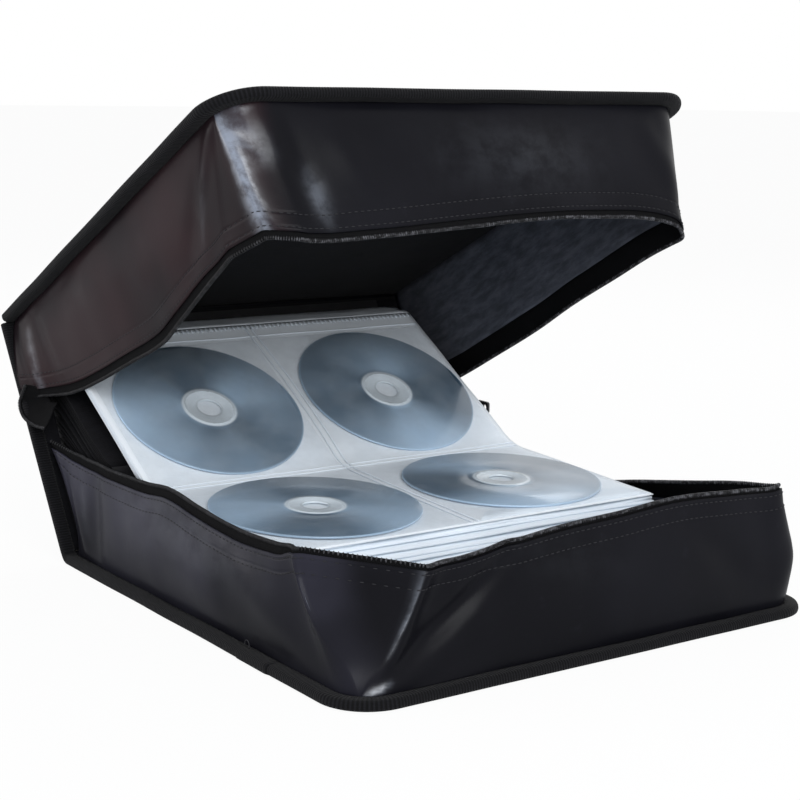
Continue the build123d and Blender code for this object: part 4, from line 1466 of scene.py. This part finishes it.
class WALLET_OT_leaves(PieceOperator, bpy.types.Operator):
    """Make the pile of fleece leaves and the tails that bind them to the spine"""

    bl_idname = "wallet.leaves"
    bl_label = "Leaves"

    def execute(self, context):
        leaf = leaf_sizes()
        low_box, high_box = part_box("lower_leaves"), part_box("upper_leaves")
        x0, x1 = low_box[0].x, low_box[1].x
        rear_y = low_box[1].y
        front_low = low_box[0].y
        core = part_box("top_leaf_core")
        front_high = core[0].y
        floor_z = low_box[0].z
        top_z = core[0].z
        count = leaf.pile
        split = round(count * 4 / 7)
        meshes = {"lower_leaf_sheets": bmesh.new(), "upper_leaf_sheets": bmesh.new()}
        for index in range(count):
            share = (index + 0.6) / count
            name = "lower_leaf_sheets" if index < split else "upper_leaf_sheets"
            jitter = noise.noise(Vector((index * 0.73, 4.1, 0.0)))
            front = front_low + (front_high - front_low) * share ** 0.9 + 0.004 + 0.003 * jitter
            shift = 0.0022 * noise.noise(Vector((index * 1.31, 9.0, 2.0)))
            front_z = floor_z + (top_z - 0.0008 - floor_z) * share
            rise = math.tan(leaf.front_slope) * share

            def leaf_at(a, b, front=front, front_z=front_z, rise=rise, shift=shift, index=index):
                y = rear_y + (front - rear_y) * b
                near = x0 + shift - leaf.shift
                if index >= split:
                    near = max(near, facet_room(y - leaf_travel, front_z))
                x = near + (x1 + shift - leaf.shift - near) * a
                curl = 0.0016 * max(0.0, b - 0.8) / 0.2 * ripple(x, index, 0.0, 0.09, 7.0)
                lift = 0.0003 * ripple(x, y, index, 0.08, 3.0)
                return Vector((x, y, front_z + rise * (y - front) + min(lift + curl, 0.0007)))

            part = drape(26, 20, leaf_at, leaf.width, 0.22)
            add_part(meshes[name], part)
        for name, node, body in (("lower_leaf_sheets", "lower_leaves", "base"),
                                 ("upper_leaf_sheets", "upper_leaves", "leaves")):
            piece = make_piece(name, meshes[name], fleece(True), (node,), body,
                               thickness=leaf.loaded)

        line = LeafLine()
        following = bmesh.new()
        middle_x = (core[0].x + core[1].x) / 2 - leaf.shift
        for index in range(leaf.following):
            drop = 0.0012 + 0.0017 * index
            slip = 0.0010 * noise.noise(Vector((index * 1.9, 3.0, 8.0))) + 0.0004 * index

            def follow_at(a, b, drop=drop, slip=slip, index=index):
                x = middle_x + (a - 0.5) * leaf.width + slip
                run = 0.002 + 0.001 * index + b * (leaf.rear_panel + 0.006)
                point = line.at(run, -drop - 0.0004 * ripple(x, run, index, 0.06, 5.0))
                return Vector((x, point.x, point.y))

            add_part(following, drape(26, 30, follow_at, leaf.width, leaf.rear_panel))
        face_away(following, Vector((0, 0.05, -0.2)))
        piece = make_piece("following_leaf_sheets", following, fleece(True), (), "leaves",
                           thickness=leaf.loaded)

        mesh, fronts = bmesh.new(), bmesh.new()
        tails, lower_tails = 26, 15
        middle_y = rear_y + 0.035
        # The tails' seats along the spine: where the lowest is, and how far they run up from it
        first_seat, seats_run = 0.0155, 0.136 - 0.0145
        sheet_face = sizes().panel + sheet_lift
        for index in range(tails):
            share = (index + 0.5) / tails
            start_z = floor_z + 0.0008 + (high_box[1].z - floor_z - 0.002) * share
            back = spine.at(0, first_seat + seats_run * share, sheet_face)
            x_shift = 0.002 * noise.noise(Vector((index * 1.7, 1.0, 5.0)))

            def tail_at(a, b, start_z=start_z, back=back, x_shift=x_shift, share=share):
                x = x0 + (x1 - x0) * a + x_shift
                start = Vector((0.0, rear_y + 0.0006, start_z))
                reach = back.y - start.y
                first = start + Vector((0, reach * 0.36, 0.0))
                second = back - Vector((0, reach * 0.30, 0.28 * (back.z - start_z) * share))
                point = (start * (1 - b) ** 3 + first * 3 * b * (1 - b) ** 2 + second * 3 * b * b * (1 - b)
                         + back * b ** 3)
                return Vector((x, point.y, point.z))

            cut, past = 0.0, 1.0
            if index >= lower_tails:
                for _ in range(24):
                    half = (cut + past) / 2
                    cut, past = (half, past) if tail_at(0.5, half).y < middle_y else (cut, half)

            def front_at(a, b, cut=cut, tail_at=tail_at):
                return tail_at(a, b * cut)

            def rest_at(a, b, cut=cut, tail_at=tail_at):
                return tail_at(a, cut + b * (1 - cut))

            add_part(mesh, drape(12, 16, rest_at, leaf.width, 0.12))
            if index >= lower_tails:
                add_part(fronts, drape(12, 6, front_at, leaf.width, 0.036))
        # The tails are made of the black lining cloth: a black hinge strip, kept dark also to stand in for
        # the shade at the pile's rear end.
        piece = make_piece("leaf_tail_sheets", mesh, lining_cloth(), ("leaf_tails",),
                           bend=("base", "spine", Vector((0, middle_y, 0)), Vector((0, 0.1635, 0))),
                           thickness=leaf.fleece)
        front_end = Vector((0, rear_y + 0.0010, 0))
        piece = make_piece("leaf_tail_front_sheets", fronts, lining_cloth(),
                           bend=("base", "leaves", Vector((0, middle_y, 0)), front_end),
                           thickness=leaf.fleece)
        return {"FINISHED"}


def pocket_middles():
    """The four pockets: run from the seam and offset across, rear row first, near one first."""
    leaf = leaf_sizes()
    pitch = leaf.width / 4
    rear = leaf.rear_margin + leaf.pocket / 2
    front = rear + leaf.pocket + leaf.row_weld
    return [(rear, -pitch), (rear, pitch), (front, -pitch), (front, pitch)]


class WALLET_OT_top_leaf(PieceOperator, bpy.types.Operator):
    """Make the top leaf, its film pockets, its welds and the tail behind it"""

    bl_idname = "wallet.top_leaf"
    bl_label = "Top leaf"

    def execute(self, context):
        leaf = leaf_sizes()
        line = LeafLine()
        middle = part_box("top_leaf_core")
        middle_x = (middle[0].x + middle[1].x) / 2 - leaf.shift

        def core_at(a, b):
            x = middle_x + (a - 0.5) * leaf.width
            run = b * line.total
            edge = ease((abs(a - 0.5) * 2 - 0.9) / 0.1)
            wave = 0.0004 * edge * ripple(x, run, 0.0, 0.04, 6.0)
            point = line.at(run, wave)
            return Vector((x, point.x, point.y))

        mesh = drape(60, 72, core_at, leaf.width, line.total)
        face_away(mesh, Vector((0, 0.05, -0.2)))
        sheet = make_piece("top_leaf_fleece", mesh, fleece(False), ("top_leaf_core",),
                           "top_leaf", thickness=leaf.fleece)

        films = bmesh.new()
        for number, (run, x) in enumerate(pocket_middles()):
            def film_at(a, b, run=run, x=x, number=number):
                dx, dr = (a - 0.5) * leaf.pocket, (b - 0.5) * leaf.pocket
                reach = math.hypot(dx, dr)
                high = leaf.fleece + leaf.disc_thickness + 0.0004
                rim = ease((leaf.pocket / 2 - max(abs(dx), abs(dr))) / 0.004)
                drop = 1 - ease((reach - 0.061) / 0.016)
                wave = 0.0004 * ripple(dx, dr, number, 0.02, 2.0) * (1 - drop)
                lift = 0.0002 + rim * ((high - 0.0002) * (0.45 + 0.55 * drop) + max(wave, 0.0))
                point = line.at(run + dr, lift)
                return Vector((middle_x + x + dx, point.x, point.y))

            part = drape(44, 44, film_at, 1.0, 1.0)
            add_part(films, part)
        film = make_piece("pocket_film_sheets", films, pocket_film(), ("pocket_films",),
                          "top_leaf")

        welds = bmesh.new()
        weld_width = 0.0012
        rear_end = leaf.rear_margin + leaf.pocket

        def weld_lift(b):
            """A weld's rounded section."""
            return 0.0004 + 0.0004 * math.sin(b * math.pi)

        for run in (leaf.rear_margin - 0.0030, rear_end + 0.0018, rear_end + leaf.row_weld - 0.0018):
            def weld_at(a, b, run=run):
                x = middle_x + (a - 0.5) * (leaf.width - 0.004)
                bow = 0.0006 * ripple(x, run, 0.0, 0.05, 1.0)
                point = line.at(run + bow + (b - 0.5) * weld_width, weld_lift(b))
                return Vector((x, point.x, point.y))

            add_part(welds, drape(90, 4, weld_at, leaf.width, weld_width))
        start, end = 0.004, line.total - 0.001
        for x_line in (-0.0022, 0.0022):
            def long_weld_at(a, b, x_line=x_line):
                run = start + (end - start) * a
                bow = 0.0022 * math.sin((run - 0.02) / 0.12 * math.pi)
                bow *= 1 if run < leaf.rear_panel else 0.3
                point = line.at(run, weld_lift(b))
                return Vector((middle_x + x_line + bow + (b - 0.5) * weld_width, point.x, point.y))

            add_part(welds, drape(120, 4, long_weld_at, line.total, weld_width))
        face_away(welds, Vector((0, 0.05, -0.2)))
        make_piece("pocket_welds", welds, fleece(True), (), "top_leaf", thickness=0.0002)

        teeth = Beads()
        tooth_pitch = 0.0034
        for index in range(int(leaf.width / tooth_pitch)):
            x = middle_x - leaf.width / 2 + (index + 0.5) * tooth_pitch
            point = line.at(0.0032, 0.0007)
            heading = Vector((0, line.slope_rear.x, line.slope_rear.y))
            up = Vector((0, -line.slope_rear.y, line.slope_rear.x))
            teeth.add(Vector((x, point.x, point.y)), Vector((1, 0, 0)), up, heading,
                      (0.0009, 0.0024, 0.0003))
        make_piece("seam_welds", teeth.done(), fleece(True), (), "top_leaf")

        seat = spine.at(0, spine_height - 0.0146, sizes().panel + sheet_lift)

        def tail_at(a, b):
            x = middle_x + (a - 0.5) * leaf.width
            start = Vector((0, seam.y + 0.0006, seam.z + 0.0003))
            point = start.lerp(seat, b)
            point.z += 0.0020 * math.sin(b * math.pi) + 0.0004 * ripple(x, b, 0.0, 0.05, 9.0)
            return Vector((x, point.y, point.z))

        mesh = drape(40, 12, tail_at, leaf.width, 0.04)
        tail = make_piece("top_leaf_tail_sheet", mesh, fleece(False), ("top_leaf_tail",),
                          bend=("base", "spine", Vector((0, seat.y - 0.094, 0)), Vector((0, seat.y, 0))),
                          thickness=leaf.fleece)
        return {"FINISHED"}


class WALLET_OT_discs(PieceOperator, bpy.types.Operator):
    """Turn the four discs, each with a raised hub ring and rounded rims"""

    bl_idname = "wallet.discs"
    bl_label = "Discs"

    def execute(self, context):
        leaf = leaf_sizes()
        line = LeafLine()
        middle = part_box("top_leaf_core")
        middle_x = (middle[0].x + middle[1].x) / 2
        hole, rim, thick = leaf.hole / 2, leaf.disc / 2, leaf.disc_thickness
        profile = [(hole, 0.0002), (hole + 0.0002, 0.0), (rim - 0.0003, 0.0), (rim, 0.0003),
                   (rim, thick - 0.0003), (rim - 0.0003, thick), (0.0216, thick), (0.0212, thick - 0.00012),
                   (0.0186, thick - 0.00012), (0.0182, thick), (0.0160, thick), (0.0157, thick + 0.00018),
                   (0.0149, thick + 0.00018), (0.0146, thick), (hole + 0.0002, thick),
                   (hole, thick - 0.0002)]
        turns = (0.3, 2.2, 4.1, 5.3)
        for number, (run, x) in enumerate(pocket_middles()):
            mesh = bmesh.new()
            mapped = mesh.loops.layers.uv.new("surface")
            ring = [mesh.verts.new((reach, 0.0, height)) for reach, height in profile]
            edges = [mesh.edges.new(pair) for pair in zip(ring, ring[1:] + ring[:1])]
            bmesh.ops.spin(mesh, geom=ring + edges, cent=(0, 0, 0), axis=(0, 0, 1), angle=2 * math.pi,
                           steps=96, use_merge=True, use_duplicate=False)
            bmesh.ops.recalc_face_normals(mesh, faces=mesh.faces)
            spun = Matrix.Rotation(turns[number], 4, "Z")
            for face in mesh.faces:
                for corner in face.loops:
                    place = spun @ corner.vert.co
                    corner[mapped].uv = (place.x, place.y)
            point = line.at(run)
            heading = line.slope_rear if run < leaf.rear_panel else line.slope_front
            away = Vector((0.0, heading.x, heading.y))
            normal = Vector((0.0, heading.y, -heading.x))
            if normal.z < 0:
                normal = -normal
            side = away.cross(normal)
            centre = Vector((middle_x + x, point.x, point.y)) + normal * leaf.disc_lift
            shape = Matrix.Translation(centre) @ Matrix((side, away, normal)).transposed().to_4x4()
            bmesh.ops.transform(mesh, matrix=shape, verts=mesh.verts)
            bmesh.ops.recalc_face_normals(mesh, faces=mesh.faces)
            make_piece(f"disc_{number + 1}_face", mesh, disc_face(), (f"disc_{number + 1}",),
                       "top_leaf")
        return {"FINISHED"}


class WALLET_OT_leaf_binding(PieceOperator, bpy.types.Operator):
    """Finish the black sheet and the rivets that bind the leaves"""

    bl_idname = "wallet.leaf_binding"
    bl_label = "Leaf binding"

    def execute(self, context):
        paint_node("binding_sheet", black_sheet())
        smooth_copy("binding_rivets", "binding_rivet_heads", bright_metal(), "spine", 0.0004)
        return {"FINISHED"}


class WALLET_OT_stage(PieceOperator, bpy.types.Operator):
    """Set the floor, the lamps and the camera"""

    bl_idname = "wallet.stage"
    bl_label = "Stage"

    def execute(self, context):
        scene = context.scene
        scene.view_settings.view_transform = "Standard"
        lens = bpy.data.cameras.new("camera")
        lens.sensor_width = camera_sensor
        lens.lens = camera_lens
        lens.clip_start, lens.clip_end = 0.01, 50.0
        camera = bpy.data.objects.new("camera", lens)
        scene.collection.objects.link(camera)
        level = math.cos(camera_pitch)
        ahead = Vector((-math.sin(camera_yaw) * level, math.cos(camera_yaw) * level,
                        -math.sin(camera_pitch)))
        right = Vector((math.cos(camera_yaw), math.sin(camera_yaw), 0.0))
        up = right.cross(ahead)
        turned = right * math.cos(camera_roll) + up * math.sin(camera_roll)
        up = up * math.cos(camera_roll) - right * math.sin(camera_roll)
        basis = Matrix((turned, up, -ahead)).transposed().to_4x4()
        camera.matrix_world = Matrix.Translation(camera_place) @ basis
        scene.camera = camera

        mesh = bmesh.new()
        bmesh.ops.create_grid(mesh, x_segments=1, y_segments=1, size=30.0)
        bmesh.ops.translate(mesh, verts=mesh.verts, vec=(0, 0, -0.0003))
        data = bpy.data.meshes.new("floor")
        mesh.to_mesh(data)
        mesh.free()
        floor = bpy.data.objects.new("floor", data)
        scene.collection.objects.link(floor)
        data.materials.append(floor_finish())

        scene.world = studio_light()
        lamp("key_lamp", (-0.45, -1.35, 0.85), (0.0, 0.0, 0.10), 1.0, 21.0, (0.97, 0.985, 1.0))
        lamp("side_lamp", (-1.30, 0.95, 0.40), (-0.12, 0.0, 0.12), 0.8, 5.0, (1.0, 0.96, 0.97))
        lamp("back_lamp", (0.9, 0.9, 1.3), (0.0, 0.0, 0.1), 1.0, 9.0, (1.0, 1.0, 1.0))
        return {"FINISHED"}


def lamp(name, place, target, width, power, tint):
    """A soft square lamp that points at the target."""
    data = bpy.data.lights.new(name, "AREA")
    data.size = width
    data.energy = power
    data.color = tint
    made = bpy.data.objects.new(name, data)
    bpy.context.scene.collection.objects.link(made)
    made.location = place
    made.rotation_euler = (Vector(target) - Vector(place)).to_track_quat("-Z", "Y").to_euler()


def studio_light():
    """Soft pale light, with a white backdrop for what looks straight at it or mirrors it."""
    paint = Paint("studio", bpy.data.worlds)
    rays = [paint.node("ShaderNodeLightPath", None, None, f"Is {kind} Ray")
            for kind in ("Camera", "Glossy", "Transmission")]
    seen = rays[0].maths("MAXIMUM", rays[1]).maths("MAXIMUM", rays[2])
    soft = paint.node("ShaderNodeBackground", None, {"Color": (0.93, 0.96, 1.0, 1.0), "Strength": 0.55})
    pale = paint.node("ShaderNodeBackground", None, {"Color": (1.0, 1.0, 1.0, 1.0), "Strength": 1.0})
    mixed = paint.node("ShaderNodeMixShader", None, {0: seen, 1: soft, 2: pale})
    paint.node("ShaderNodeOutputWorld", None, {"Surface": mixed})
    return paint.material


def floor_finish():
    """Pale matt floor that fades to white."""
    paint = Paint("floor")
    path = paint.node("ShaderNodeLightPath", None, None, "Is Camera Ray")
    matt = paint.node("ShaderNodeBsdfDiffuse", None, {"Color": rgba(colours().floor)})
    glow = paint.node("ShaderNodeEmission", None, {"Color": (1.0, 1.0, 1.0, 1.0), "Strength": 1.0})
    mixed = paint.node("ShaderNodeMixShader", None, {0: path * 0.94, 1: matt, 2: glow})
    paint.node("ShaderNodeOutputMaterial", None, {"Surface": mixed})
    return paint.material


STEPS = (WALLET_OT_stage, WALLET_OT_covers, WALLET_OT_bindings, WALLET_OT_walls, WALLET_OT_zip,
         WALLET_OT_webs, WALLET_OT_leaves, WALLET_OT_top_leaf, WALLET_OT_discs, WALLET_OT_leaf_binding)


class WALLET_PT_pieces(bpy.types.Panel):
    """The wallet's pieces, sizes and colours"""

    bl_idname = "WALLET_PT_pieces"
    bl_label = "Disc wallet"
    bl_space_type = "VIEW_3D"
    bl_region_type = "UI"
    bl_category = "Disc wallet"

    def draw(self, context):
        column = self.layout.column()
        for step in STEPS:
            column.operator(step.bl_idname)
        for group in (context.scene.wallet_sizes, context.scene.wallet_leaves, context.scene.wallet_colours):
            box = self.layout.box()
            for name in group.bl_rna.properties.keys():
                if name not in ("rna_type", "name"):
                    box.prop(group, name)


CLASSES = (WalletSizes, LeafSizes, WalletColours, *STEPS, WALLET_PT_pieces)


def register():
    for kind in CLASSES:
        bpy.utils.register_class(kind)
    bpy.types.Scene.wallet_sizes = PointerProperty(type=WalletSizes)
    bpy.types.Scene.wallet_leaves = PointerProperty(type=LeafSizes)
    bpy.types.Scene.wallet_colours = PointerProperty(type=WalletColours)


def unregister():
    del bpy.types.Scene.wallet_colours
    del bpy.types.Scene.wallet_leaves
    del bpy.types.Scene.wallet_sizes
    for kind in reversed(CLASSES):
        bpy.utils.unregister_class(kind)


def main():
    register()
    for step in STEPS:
        group, name = step.bl_idname.split(".")
        getattr(getattr(bpy.ops, group), name)()


if __name__ == "__main__":
    main()
